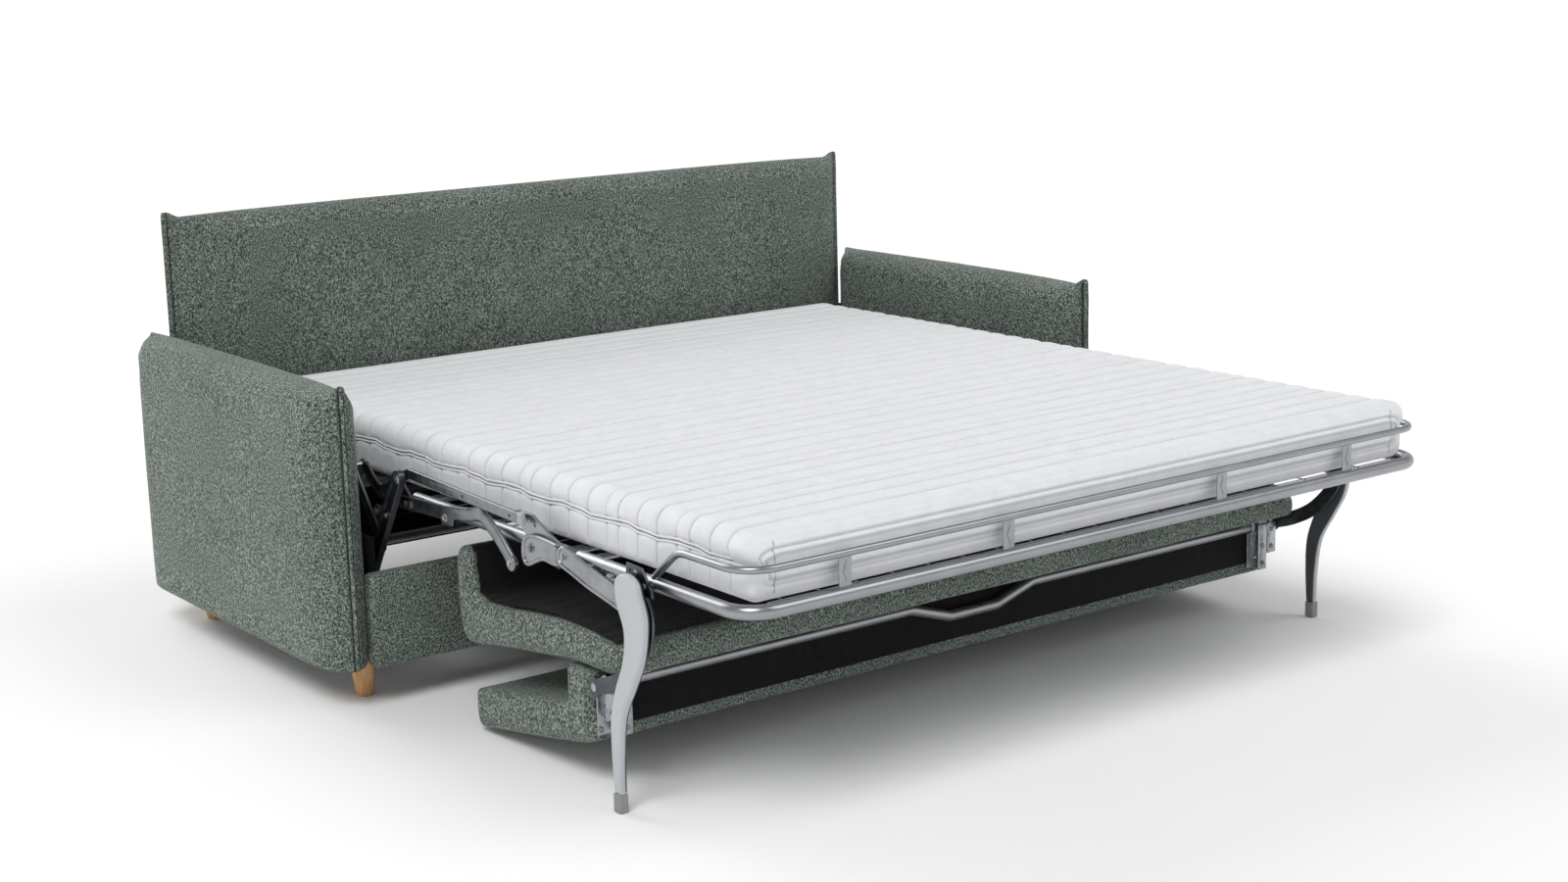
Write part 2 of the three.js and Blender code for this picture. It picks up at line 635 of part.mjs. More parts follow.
function buildMiddle() {
  const tubes = [middleFrameRear - middleCrossInset, middleFrameFront + middleCrossInset]
    .map((y) => crossTube(y));
  for (const [, side] of sides) {
    tubes.push(sideTube(side, middleFrameFront, middleFrameRear));
    tubes.push(plate(side, gussetOutline.map(flat), [], lane(0), plateThickness));
    tubes.push(pin(side, footPivot, lane(0) + bite, laneEnd(1) + laneGap / 2, pinRadius));
    tubes.push(pin(side, footPivot, laneEnd(0) - bite, laneEnd(0) + laneGap / 2, washerRadius));
    tubes.push(pin(side, [barEnd[0] + barHeight, barEnd[1]], laneEnd(0) - bite,
      laneEnd(2) - barThickness - gap, washerRadius));
  }
  add('middle_frame', joined(...tubes), finishes.tube());
  net('middle_net', middleFrameFront, middleFrameRear);
  mattress('mattress_middle', footPivot[0] + cutGap / 2, foldPivot[0] - cutGap / 2, false, false);

  const slope = (barEnd[1] - barStart[1]) / (barEnd[0] - barStart[0]);
  const barLevel = (y) => barStart[1] + slope * (y - barStart[0]);
  const barX = laneEnd(2) - barThickness;
  const barOutline = (from, to, extra) => [[from, -1], [from, 1], [to, 1], [to, -1]]
    .map(([y, edge]) => flat([y, barLevel(y) + edge * (barHeight / 2 + extra)]));
  for (const [name, side] of sides) {
    const tongueEnd = barStart[0] + gap;
    const tongueLevel = barLevel(tongueEnd);
    const tongue = [[foldPivot[0], foldPivot[1] - bossRadius / 2], [tongueEnd, tongueLevel - barHeight / 2],
      [tongueEnd, tongueLevel + barHeight / 2], [foldPivot[0], foldPivot[1] + bossRadius]];
    const parts = [
      plate(side, strap([turnPivot, foldPivot], 2 * bossRadius, 1), [], lane(2), plateThickness),
      plate(side, strap([foldPivot, hingeStandoff], 2 * bossRadius, 1), [], lane(2), plateThickness),
      plate(side, tongue.map(flat), [], lane(2), plateThickness),
      pin(side, turnPivot, laneEnd(2) - bite, laneEnd(4) + bite, pinRadius),
      pin(side, turnPivot, laneEnd(2) - bite, lane(4) - laneGap / 2, washerRadius),
      pin(side, foldPivot, lane(1) - laneGap / 2, lane(2) + bite, pinRadius),
      pin(side, foldPivot, laneEnd(2) - bite, laneEnd(2) + washerThickness, washerRadius),
      pin(side, hingeStandoff, sideTubeX + tubeRadius + gap, lane(2) + bite, washerRadius),
    ];
    add(`hinge_plate_${name}`, joined(...parts), finishes.plate());
    add(`side_bar_${name}`, plate(side, barOutline(barStart[0], barEnd[0], 0), [], barX, barThickness),
      finishes.zinc());
    const capStart = barEnd[0] - gap;
    add(`bar_cap_${name}`, plate(side, barOutline(capStart, capStart - capLength, 1), [], barX, barThickness),
      finishes.cap());
    const bolts = [braceBolt, bendRoute[bendRoute.length - 1]].map((place) =>
      pin(side, place, laneEnd(2) - bite, laneEnd(2) + washerThickness, washerRadius, 6));
    const brace = plate(side, strap(braceRoute, braceHeight, 1), [], lane(2), plateThickness);
    const bend = plate(side, strap(bendRoute, bendWidth, 4), [], lane(2), plateThickness);
    const stud = pin(side, braceStud, sideTubeX + tubeRadius + gap, lane(2) + bite, studRadius);
    add(`brace_${name}`, joined(brace, bend, ...bolts, stud), finishes.plate());
  }
}

// Foot section with its bent front tube and the retainer bar for the bedding

const footFrameRear = footPivot[0] - sectionInset;
const footCrossInset = 12;
const frontBend = 60;
const retainerRadius = 6.5;
const retainerLevel = 472;
const retainerWeld = frontTubeY + 256; // where the retainer meets a side tube
const retainerKnee = frontTubeY + 189;
const retainerBend = 20;
const postWidth = 26;
const postThickness = 3;
const postPlaces = [-630, -274, 254, 603];
const retainerSides = 8;

function buildFoot() {
  const corner = (side) => vector(side * sideTubeX, frontTubeY, frameLevel);
  const loop = (radius) => bentTube([vector(-sideTubeX, footFrameRear, frameLevel), corner(-1), corner(1),
    vector(sideTubeX, footFrameRear, frameLevel)], radius, frontBend);
  add('foot_frame', joined(loop(tubeRadius), crossTube(footFrameRear - footCrossInset)), finishes.tube());
  const clearTube = loop(tubeRadius + gap);
  net('foot_net', frontTubeY + tubeRadius + gap, footFrameRear, clearTube);
  const mattressFront = frontTubeY + tubeRadius + borderDraw - bite;
  mattress('mattress_foot', mattressFront, footPivot[0] - cutGap / 2, true, false);

  const tubeTop = frameLevel + tubeRadius + gap;
  const rail = bentTube([[-1, retainerWeld, tubeTop + retainerRadius / 2], [-1, retainerKnee, retainerLevel],
    [-1, frontTubeY, retainerLevel], [1, frontTubeY, retainerLevel], [1, retainerKnee, retainerLevel],
    [1, retainerWeld, tubeTop + retainerRadius / 2]].map(([side, y, z]) => vector(side * sideTubeX, y, z)),
  retainerRadius, retainerBend, retainerSides, 3);
  const posts = postPlaces.map((x) => block([x - postWidth / 2, frontTubeY - postThickness / 2, tubeTop],
    [x + postWidth / 2, frontTubeY + postThickness / 2, retainerLevel]));
  add('retainer_bar', cut(joined(rail, ...posts), clearTube), finishes.tube());
}

const longLinkRoute = [[71, 9], [35, 13], [0, 0], [-55, -12], [-123, -10], [-195, -31]]
  .map((place) => from(footPivot, place));
const longLinkWidth = 28;
const longLinkFixings = [[-70, -7], [-172, -7]].map((place) => from(footPivot, place));
const swanRoute = [[0, -2], [-23, -44], [-11, -100], [38, -154], [95, -186]]
  .map((place) => from(legPivot, place));
const swanWidth = 30;
const swanBolt = from(legPivot, [35, -154]);
const legThickness = 20;
const bracketOutline = [[43, -10], [-55, -6], [-54, 10], [-21, 40], [35, 40]]
  .map((place) => from(legPivot, place));
const eyeRadius = 19;

function buildFootLinks() {
  for (const [name, side] of sides) {
    const link = plate(side, strap(longLinkRoute, longLinkWidth), [], lane(1), plateThickness);
    const fixings = longLinkFixings.map((place) =>
      pin(side, place, sideTubeX + tubeRadius + gap, lane(1) + bite, studRadius));
    const boreTool = pin(side, footPivot, lane(1) - overrun, laneEnd(1) + overrun, pinRadius + pinFit);
    const tail = pin(side, longLinkRoute[0], laneEnd(1) - bite, laneEnd(1) + washerThickness, studRadius, 6);
    add(`long_link_${name}`, cut(joined(link, ...fixings, tail), boreTool), finishes.plate());

    const arm = plate(side, strap([...swanRoute, swingPivot], swanWidth), [], lane(2), plateThickness);
    const bracket = plate(side, bracketOutline.map(flat), [], lane(2), plateThickness);
    const eye = plate(side, arc(swingPivot, eyeRadius, roundSides), [], lane(2), plateThickness);
    const legPinEnd = lane(3) + legThickness + washerThickness;
    const legPin = pin(side, legPivot, laneEnd(2) - bite, legPinEnd, pinRadius);
    const legStop = pin(side, legPivot, sideTubeX + tubeRadius + gap, lane(2) + bite, washerRadius);
    const bolt = pin(side, swanBolt, laneEnd(2) - bite, laneEnd(2) + washerThickness, washerRadius, 6);
    const eyeTool = pin(side, swingPivot, lane(2) - overrun, laneEnd(2) + overrun, pinRadius + pinFit);
    add(`swan_arm_${name}`, cut(joined(arm, bracket, eye, legPin, legStop, bolt), eyeTool), finishes.plate());
  }
}

// Legs

const legTipHeight = 34;
const legTipWall = 2;
const legFoot = legTipHeight + gap;
const legSteps = 32; // points along the outline of a leg
const legRear = [[69, -298], [67, -232], [51, -181], [24, -124], [17, -72], [35, -28], [39, 12], [13, 28]];
const legFront = [[-17, 20], [-30, -5], [-43, -46], [-31, -113], [-2, -166], [32, -225], [44, -294]];
const legRearFootY = legPivot[0] + 65;
const legFrontFootY = legPivot[0] + 47;
const legSides = [...legRear, ...legFront].map((place) => from(legPivot, place));
const legOutline = [[legRearFootY, legFoot], ...legSides, [legFrontFootY, legFoot]];

function buildLegs() {
  for (const [name, side] of sides) {
    const outline = new THREE.SplineCurve(legOutline.map(flat)).getPoints(legSteps);
    add(`leg_${name}`, plate(side, outline, [bore(legPivot)], lane(3), legThickness), finishes.legPlastic());
    const x0 = lane(3) - legTipWall;
    const x1 = lane(3) + legThickness + legTipWall;
    const xs = side > 0 ? [x0, x1] : [-x1, -x0];
    const tip = block([xs[0], legFrontFootY - legTipWall, 0], [xs[1], legRearFootY + legTipWall, legTipHeight]);
    add(`leg_tip_${name}`, tip, finishes.rubber());
  }
}

// Cross tube on which the seat and the back cushion turn; a dip in its middle is the pull handle

const swingRadius = 11;
const dipDepth = 30;
const dipHalf = 60;
const dipSlope = 95;
const dipBend = 40;

function buildSwingTube() {
  const end = lane(2) - gap;
  const [y, z] = swingPivot;
  const corners = [[-end, 0], [-dipHalf - dipSlope, 0], [-dipHalf, -dipDepth], [dipHalf, -dipDepth],
    [dipHalf + dipSlope, 0], [end, 0]].map(([x, rise]) => vector(x, y, z + rise));
  const pins = sides.map(([, side]) => pin(side, swingPivot, end - bite, laneEnd(2) + bite, pinRadius));
  add('cross_tube', joined(bentTube(corners, swingRadius, dipBend, tubeSides, 2), ...pins), finishes.tube());
}

// Seat and back cushion, which hang upside down under the bed

const cushionHalf = 853;
const seatFrontY = footPivot[0] + 398;
const seatLength = 573;
const seatLow = swingPivot[1] - 30;
const seatHeight = 185;
const seatShares = [[0.031, 1], [0.006, 0.9], [0, 0.56], [0.012, 0.19], [0.055, 0], [0.206, 0.062],
  [0.433, 0.16], [0.682, 0.262], [0.904, 0.28], [0.983, 0.31], [1, 0.405], [0.995, 0.52], [0.974, 0.587],
  [0.14, 0.587], [0.115, 0.67], [0.101, 0.95], [0.075, 1]];
const seatFlatShare = 0.587; // level of the sunk upper side, and of the lining on it
const liningStartShare = 0.14;
const seatHingeShare = 0.275; // level of the underside above the cross tube
const backFarY = footPivot[0] + 345;
const backLength = 425;
const backLow = swingPivot[1] - 187;
const backHeight = 204;
const backShares = [[0, 0.16], [0.005, 0.3], [0.035, 0.375], [0.39, 0.5], [0.75, 0.635], [0.778, 0.7],
  [0.784, 0.94], [0.8, 0.985], [0.976, 1], [1, 0.965], [1, 0.31], [0.975, 0.255], [0.835, 0.21],
  [0.435, 0.108], [0.05, 0], [0.012, 0.04]];
const cushionStationShares = [-1, -0.985, -0.94, -0.8, -0.45, 0, 0.45, 0.8, 0.94, 0.985, 1];
const cushionDraw = 12; // how far a cushion's outline pulls in at its ends

function cushion(name, shares, [y0, length], [z0, height]) {
  const outline = shares.map(([u, v]) => [y0 - u * length, z0 + v * height]);
  const centre = [0, 1].map((axis) => outline.reduce((sum, point) => sum + point[axis], 0) / outline.length);
  const stations = cushionStationShares.map((share) => {
    const draw = cushionDraw * (1 - panelSwell(share, armFullness));
    const ring = outline.map(([y, z]) => [y + ((centre[0] - y) * 2 * draw) / length,
      z + ((centre[1] - z) * 2 * draw) / height]);
    return { at: share * cushionHalf, ring };
  });
  const body = skin('x', stations);
  add(name, body, finishes.cover());
  return body;
}

const liningThickness = 6.5;
const liningInset = 20;
const backBoardThickness = 7.7;
const backBoardBottomShare = 0.3;
const backBoardTopShare = 0.96;

function buildCushions() {
  const seat = cushion('seat_cushion', seatShares, [seatFrontY, seatLength], [seatLow, seatHeight]);
  const liningBottom = seatLow + seatFlatShare * seatHeight + gap;
  const liningX = cushionHalf - liningInset;
  const liningRear = seatFrontY - seatLength + liningInset;
  const liningFront = seatFrontY - liningStartShare * seatLength - liningInset / 2;
  const lining = block([-liningX, liningRear, liningBottom],
    [liningX, liningFront, liningBottom + liningThickness]);
  add('seat_lining', lining, finishes.lining());
  cushion('back_cushion', backShares, [backFarY, backLength], [backLow, backHeight]);
  const boardY = backFarY - backLength - gap;
  const boardLow = backLow + backBoardBottomShare * backHeight;
  const boardHigh = backLow + backBoardTopShare * backHeight;
  const board = block([-liningX, boardY - backBoardThickness, boardLow], [liningX, boardY, boardHigh]);
  add('back_lining', board, finishes.lining());
  return seat;
}

const bracketThickness = 6;
const eyeInset = 19; // from the end of a cushion to the outer eye plate
const eyeSpacing = 28;
const outerEyeX = cushionHalf - eyeInset;
// Inner face and lower end of each eye plate of a back bracket
const backEyes = [[outerEyeX, swingPivot[1] - 61], [outerEyeX - eyeSpacing, swingPivot[1] - 94]];
const flangeWidth = 26;
const flangeThickness = 3;
const flangeReach = 14; // in front of the middle of the cross tube
const eyeTop = swingPivot[1] + 16;
const seatEyeX = outerEyeX - eyeSpacing - flangeWidth;
const seatTop = seatLow + seatHingeShare * seatHeight; // underside of the seat at its hinge

function buildBrackets(seat) {
  const seatClear = seat.clone().translate(0, 0, -gap);
  const boardFace = backFarY - backLength - 2 * gap - backBoardThickness;
  const flangeY = swingPivot[0] - flangeReach;
  const eyeBore = (side, x) => pin(side, swingPivot, x - overrun, x + bracketThickness + overrun,
    swingRadius + pinFit);
  const box = (side, x0, x1, y0, y1, z0, z1) =>
    block([Math.min(side * x0, side * x1), y0, z0], [Math.max(side * x0, side * x1), y1, z1]);
  for (const [name, side] of sides) {
    const parts = [];
    for (const [x, low] of backEyes) {
      const middle = x + bracketThickness / 2;
      parts.push(box(side, x, x + bracketThickness, flangeY, boardFace, low, eyeTop));
      parts.push(box(side, middle - flangeWidth / 2, middle + flangeWidth / 2,
        flangeY - flangeThickness, flangeY + gap, low, eyeTop));
    }
    const lowest = Math.min(...backEyes.map(([, low]) => low));
    const mounting = box(side, backEyes[1][0] - flangeWidth / 2, backEyes[0][0] + flangeWidth / 2,
      boardFace - flangeThickness, boardFace, lowest, swingPivot[1] - swingRadius - laneGap);
    const backBores = backEyes.map(([x]) => eyeBore(side, x));
    add(`back_bracket_${name}`, cut(joined(mounting, ...parts), ...backBores), finishes.zinc());

    const ring = pin(side, swingPivot, seatEyeX, seatEyeX + bracketThickness, flangeReach);
    const web = box(side, seatEyeX, seatEyeX + bracketThickness, swingPivot[0] - flangeReach + gap,
      swingPivot[0] + flangeReach - gap, swingPivot[1], seatTop + overrun);
    const eyeMiddle = seatEyeX + bracketThickness / 2;
    const top = box(side, eyeMiddle - flangeWidth / 2, eyeMiddle + flangeWidth / 2,
      flangeY - flangeWidth, swingPivot[0] + flangeReach - gap, seatTop - flangeThickness, seatTop + overrun);
    const bracket = cut(joined(ring, web, top), eyeBore(side, seatEyeX), seatClear);
    add(`seat_bracket_${name}`, bracket, finishes.zinc());
  }
}

buildArms();
buildBack();
buildBoards();
buildFeet();
buildBase();
buildLiftLinks();
buildHead();
buildFold();
buildMiddle();
buildFoot();
buildFootLinks();
buildLegs();
buildSwingTube();
buildBrackets(buildCushions());

// The origin lies under the middle of the whole sofa with its bed open
sofa.position.y = -(backRear + frontTubeY - tubeRadius) / 2;

export default sofa;
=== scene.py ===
import math

import bmesh
import bpy
import numpy as np
from mathutils import Matrix, Vector, geometry


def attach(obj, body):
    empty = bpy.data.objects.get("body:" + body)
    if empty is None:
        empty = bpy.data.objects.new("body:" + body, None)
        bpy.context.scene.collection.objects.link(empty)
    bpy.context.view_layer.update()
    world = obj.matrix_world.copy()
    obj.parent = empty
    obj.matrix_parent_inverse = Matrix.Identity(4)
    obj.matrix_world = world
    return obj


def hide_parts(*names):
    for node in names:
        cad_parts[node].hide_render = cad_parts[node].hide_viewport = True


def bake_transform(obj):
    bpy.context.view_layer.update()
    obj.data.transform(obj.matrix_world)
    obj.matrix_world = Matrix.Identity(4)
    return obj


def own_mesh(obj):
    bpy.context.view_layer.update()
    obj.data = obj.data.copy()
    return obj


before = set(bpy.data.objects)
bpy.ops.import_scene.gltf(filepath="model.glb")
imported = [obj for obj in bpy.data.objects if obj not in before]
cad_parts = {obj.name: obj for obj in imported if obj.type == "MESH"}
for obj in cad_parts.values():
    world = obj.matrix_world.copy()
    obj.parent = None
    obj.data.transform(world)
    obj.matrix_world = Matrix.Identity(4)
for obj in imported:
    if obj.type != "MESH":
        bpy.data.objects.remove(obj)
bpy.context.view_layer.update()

# Points are written in millimetres from the drawing's zero, which lies on the front edge of the arms
rowShift = 72.75  # mm from there to the zero of the row frame, along Y
sides = {"left": -1, "right": 1}


# Shapes: each is its points and a list of face arrays

# Unit vectors of an array of vectors
def unit(vectors):
    vectors = np.asarray(vectors, float)
    return vectors / np.maximum(np.linalg.norm(vectors, axis=-1, keepdims=True), 1e-9)


# Triangles that close a flat ring, given as its points in two axes and the numbers of those points
def closeRing(ring, numbers):
    flat = geometry.tessellate_polygon([[Vector((*point, 0)) for point in ring]])
    return np.asarray(numbers)[np.array(flat)]


# Faces between the rows of a grid of points; a ring joins its last column to its first, caps close its ends
def gridShape(grid, ring=True, capped=True):
    rows, columns = grid.shape[:2]
    row, column = np.meshgrid(np.arange(rows - 1), np.arange(columns if ring else columns - 1), indexing="ij")
    after = (column + 1) % columns
    quads = np.stack([row * columns + column, row * columns + after, (row + 1) * columns + after,
                      (row + 1) * columns + column], -1).reshape(-1, 4)
    faces = [quads]
    if capped:
        faces += [np.arange(columns)[None, ::-1], np.arange((rows - 1) * columns, rows * columns)[None]]
    return grid.reshape(-1, 3), faces


# Several shapes as one
def gather(shapes):
    starts = np.cumsum([0] + [len(points) for points, _ in shapes])
    return (np.concatenate([points for points, _ in shapes]),
            [faces + start for (_, lists), start in zip(shapes, starts) for faces in lists])


# Line bent round its corners: each corner gives way to an arc of the radius bend
def bentPath(corners, bend, steps=10):
    corners = np.asarray(corners, float)
    line = [corners[:1]]
    for before, corner, after in zip(corners, corners[1:], corners[2:]):
        toBefore, toAfter = unit(before - corner), unit(after - corner)
        half = math.acos(np.clip(toBefore @ toAfter, -1, 1)) / 2
        centre = corner + unit(toBefore + toAfter) * bend / math.sin(half)
        start = corner + toBefore * bend / math.tan(half) - centre
        end = corner + toAfter * bend / math.tan(half) - centre
        turn = math.pi - 2 * half
        share = np.linspace(0, 1, steps + 1)[:, None]
        arc = np.sin((1 - share) * turn) * start + np.sin(share * turn) * end
        line.append(centre + arc / math.sin(turn))
    return np.concatenate([*line, corners[-1:]])


# Tube: a circle of the radius carried square to the path
def tubeShape(path, radius, facets=28, reference=(0, 0, 1)):
    path = np.asarray(path, float)
    steps = unit(np.diff(path, axis=0))
    along = unit(np.concatenate([steps[:1], steps[:-1] + steps[1:], steps[-1:]]))
    across = unit(np.cross(along, reference))
    up = np.cross(across, along)
    angle = np.linspace(0, 2 * np.pi, facets, endpoint=False)[None, :, None]
    reach = np.broadcast_to(radius, len(path))[:, None, None]
    return gridShape(path[:, None] + reach * (np.cos(angle) * across[:, None] + np.sin(angle) * up[:, None]))


# Turned shape: a profile of (distance along, radius) spun about an axis through the centre
def turnedShape(profile, centre, axis, facets=32):
    profile = np.asarray(profile, float)
    angle = np.linspace(0, 2 * np.pi, facets, endpoint=False)
    ring = [np.broadcast_to(profile[:, :1], (len(profile), facets)), profile[:, 1:] * np.cos(angle),
            profile[:, 1:] * np.sin(angle)]
    order = {"x": (0, 1, 2), "y": (2, 0, 1), "z": (1, 2, 0)}[axis]
    return gridShape(np.stack([ring[k] for k in order], -1) + centre)


# Smooth line through points: each span is a cubic, and its slope at a point is half the step between
# the point's neighbours
def smoothLine(points, steps, closed=False):
    points = np.asarray(points, float)
    before, after = (points[-1:], points[:2]) if closed else (points[:1], points[-1:])
    padded = np.concatenate([before, points, after])
    p0, p1, p2, p3 = (padded[k:len(padded) - 3 + k, None] for k in range(4))
    t = np.linspace(0, 1, steps, endpoint=False)[None, :, None]
    v0, v1 = (p2 - p0) / 2, (p3 - p1) / 2
    line = (2 * p1 - 2 * p2 + v0 + v1) * t ** 3 + (3 * p2 - 3 * p1 - 2 * v0 - v1) * t ** 2 + v0 * t + p1
    line = line.reshape(-1, points.shape[1])
    return line if closed else np.concatenate([line, points[-1:]])


# Circle or arc in Y and Z: centre + radius * (cos, sin) from a starting angle through a turn
def arcPoints(centre, radius, steps, start=0.0, turn=2 * math.pi):
    angle = start + turn * np.linspace(0, 1, steps, endpoint=abs(turn) < 2 * math.pi)
    return np.stack([centre[0] + radius * np.cos(angle), centre[1] + radius * np.sin(angle)], -1)


# Outline of a strap: both sides of a smooth route at half the width, joined by half circles
def strapOutline(route, width, steps=8):
    line = smoothLine(route, steps)
    along = unit(np.gradient(line, axis=0))
    across = np.stack([-along[:, 1], along[:, 0]], -1) * width / 2
    last, first = math.atan2(along[-1, 1], along[-1, 0]), math.atan2(along[0, 1], along[0, 0])
    endCap = arcPoints(line[-1], width / 2, 13, last + math.pi / 2, -math.pi)
    startCap = arcPoints(line[0], width / 2, 13, first - math.pi / 2, -math.pi)
    return np.concatenate([line + across, endCap[1:-1], (line - across)[::-1], startCap[1:-1]])


# Outline moved inwards by a distance: each corner goes along the mean of its two edges' normals
def insetOutline(outline, distance):
    arriving = unit(outline - np.roll(outline, 1, 0))
    leaving = unit(np.roll(outline, -1, 0) - outline)
    normals = [np.stack([-edge[:, 1], edge[:, 0]], -1) for edge in (arriving, leaving)]
    mean = unit(normals[0] + normals[1])
    spread = np.maximum((mean * normals[0]).sum(-1, keepdims=True), 0.5)
    return outline + mean * distance / spread


# Plate: a profile of (inset from the edge, distance from the middle of the sofa) carried round an outline
# in Y and Z, closed by its two faces, with round holes of (centre, radius) through it
def plateShape(side, outline, profile, holes=()):
    outline = np.asarray(outline, float)
    y, z = outline.T
    if (y * np.roll(z, -1) - np.roll(y, -1) * z).sum() < 0:
        outline = outline[::-1]
    rings = [insetOutline(outline, inset) for inset, _ in profile]
    grid = np.stack([np.column_stack([np.full(len(ring), side * x), ring])
                     for ring, (_, x) in zip(rings, profile)])
    points, faces = gridShape(grid, capped=False)
    count, points = len(points), [points]
    circles = [arcPoints(centre, radius, 20) for centre, radius in holes]
    ends = [(rings[0], profile[0][1], 0), (rings[-1], profile[-1][1], (len(profile) - 1) * len(outline))]
    loops = []
    for ring, x, start in ends:
        indices = [np.arange(start, start + len(outline))]
        for circle in circles:
            points.append(np.column_stack([np.full(len(circle), side * x), circle]))
            indices.append(np.arange(count, count + len(circle)))
            count += len(circle)
        flat = geometry.tessellate_polygon([[Vector((*point, 0)) for point in loop]
                                            for loop in [ring, *circles]])
        faces.append(np.concatenate(indices)[np.array(flat)])
        loops.append(indices[1:])
    for low, high in zip(*loops):
        faces.append(np.stack([low, np.roll(low, -1), np.roll(high, -1), high], -1))
    return np.concatenate(points), faces


# Profile of a flat plate between two distances from the middle, with a small bevel
def flatProfile(x0, x1, bevel=0.7):
    return [(bevel, x0), (0, x0 + bevel), (0, x1 - bevel), (bevel, x1)]


# Profile of a pressed plate: a rim round a web that lies deeper on the outer face
def pressedProfile(x0, x1, rim=3.4, depth=2.4, bevel=0.6):
    return [*flatProfile(x0, x1, bevel), (rim, x1), (rim + 1.2, x1 - 0.5), (rim + 2.4, x1 - depth),
            (rim + 3.2, x1 - depth - 0.1)]


# Profile of a thick stamping: both edges are quarter circles of the radius bend
def roundProfile(x0, x1, bend, steps=5):
    angle = np.linspace(0, np.pi / 2, steps)
    sweep = list(zip(bend * (1 - np.sin(angle)), bend * (1 - np.cos(angle))))
    return [(inset, x0 + rise) for inset, rise in sweep] + [(inset, x1 - rise) for inset, rise in sweep[::-1]]


# Box with rounded edges between its lowest and highest corner: round sections along X, drawn in at both ends
def softBox(low, high, bend, steps=3):
    low, high = np.asarray(low, float), np.asarray(high, float)
    corners = ((1, -1, -0.5), (1, 1, 0), (-1, 1, 0.5), (-1, -1, 1))
    angle = np.linspace(0, np.pi / 2, steps + 1)
    draws, places = bend * (1 - np.sin(angle)), bend * (1 - np.cos(angle))
    stations = [*zip(low[0] + places, draws), *zip(high[0] - places[::-1], draws[::-1])]
    middle, half = (low + high)[1:] / 2, (high - low)[1:] / 2
    rings = []
    for x, draw in stations:
        turn = max(bend - draw, 0.02)
        ring = np.concatenate([arcPoints(middle + (half - draw - turn) * (a, b), turn, steps + 1,
                                         start * np.pi, np.pi / 2) for a, b, start in corners])
        rings.append(np.column_stack([np.full(len(ring), x), ring]))
    return gridShape(np.stack(rings))


# Rivet head: a low dome turned about an axis, on a face at its centre; six facets make it a bolt head
def headShape(centre, axis, radius, height, facets=24):
    rise, reach = [0, 0.55, 0.8, 1, 1], [1, 1, 0.86, 0.55, 0.02]
    if facets == 6:
        rise, reach = [0, 0.78, 1, 1], [1, 1, 0.86, 0.02]
    return turnedShape([(height * up, radius * out) for up, out in zip(rise, reach)], centre, axis, facets)


# Bolts of a side on a face at a distance x: each is a washer, a hexagon head and the end of the pin,
# with radii in fixed shares of the washer's
def boltShapes(side, x, places, radius=9.0):
    shapes = []
    for y, z in places:
        shapes += [headShape((side * x, y, z), "x", radius, side * 1.8),
                   headShape((side * (x + 1.6), y, z), "x", radius * 0.72, side * 3.6, 6),
                   headShape((side * (x + 5), y, z), "x", radius * 0.36, side * 1.4)]
    return gather(shapes)


# Pin between two distances from the middle: a cylinder along X with nearly closed ends
def pinShape(side, place, x0, x1, radius, facets=24):
    start, end = side * x0, side * x1
    return turnedShape([(start, 0.02), (start, radius), (end, radius), (end, 0.02)], (0, *place), "x", facets)


# Object from a shape: points go to the row frame in metres, doubles are merged, faces are turned outwards,
# edges past the crease angle are sharp, and the piece rides on a body and stands for nodes of the frame
def makePiece(name, shape, finish, body, stands=(), crease=32, painted_shade=None):
    points, faces = shape
    mesh = bpy.data.meshes.new(name)
    row = (np.asarray(points, float) + (0, rowShift, 0)) / 1000
    mesh.from_pydata(row.tolist(), [], [face for array in faces for face in array.tolist()])
    # painted shade per point, if given: the material darkens its colour by it in seams, grooves and cords
    if painted_shade is not None:
        mesh.attributes.new("painted_shade", "FLOAT", "POINT").data.foreach_set("value", painted_shade)
    work = bmesh.new()
    work.from_mesh(mesh)
    bmesh.ops.remove_doubles(work, verts=work.verts, dist=2e-6)
    bmesh.ops.recalc_face_normals(work, faces=work.faces)
    work.to_mesh(mesh)
    work.free()
    mesh.shade_smooth()
    mesh.set_sharp_from_angle(angle=math.radians(crease))
    made = bpy.data.objects.new(name, mesh)
    bpy.context.scene.collection.objects.link(made)
    mesh.materials.append(finish)
    if body:
        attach(made, body)
    if stands:
        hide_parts(*stands)
    return made


# Materials

# Linear colour of an sRGB hex value
def linear(colour):
    channels = (int(colour[k:k + 2], 16) / 255 for k in (1, 3, 5))
    return (*(c / 12.92 if c <= 0.04045 else ((c + 0.055) / 1.055) ** 2.4 for c in channels), 1)


# Node with its settings, and with a link or a value for each input named
def addNode(tree, kind, inputs=None, **settings):
    node = tree.nodes.new(kind)
    for key, value in settings.items():
        setattr(node, key, value)
    for key, value in (inputs or {}).items():
        if isinstance(value, bpy.types.NodeSocket):
            tree.links.new(value, node.inputs[key])
        else:
            node.inputs[key].default_value = value
    return node


# Material with its surface shader and Object coordinates; what is the same all over sits on the shader
def newFinish(name, **sockets):
    made = bpy.data.materials.new(name)
    made.use_nodes = True
    tree = made.node_tree
    tree.nodes.clear()
    shader = addNode(tree, "ShaderNodeBsdfPrincipled",
                     {key.replace("_", " "): value for key, value in sockets.items()})
    addNode(tree, "ShaderNodeOutputMaterial", {"Surface": shader.outputs["BSDF"]})
    place = addNode(tree, "ShaderNodeTexCoord").outputs["Object"]
    return made, tree, shader, place


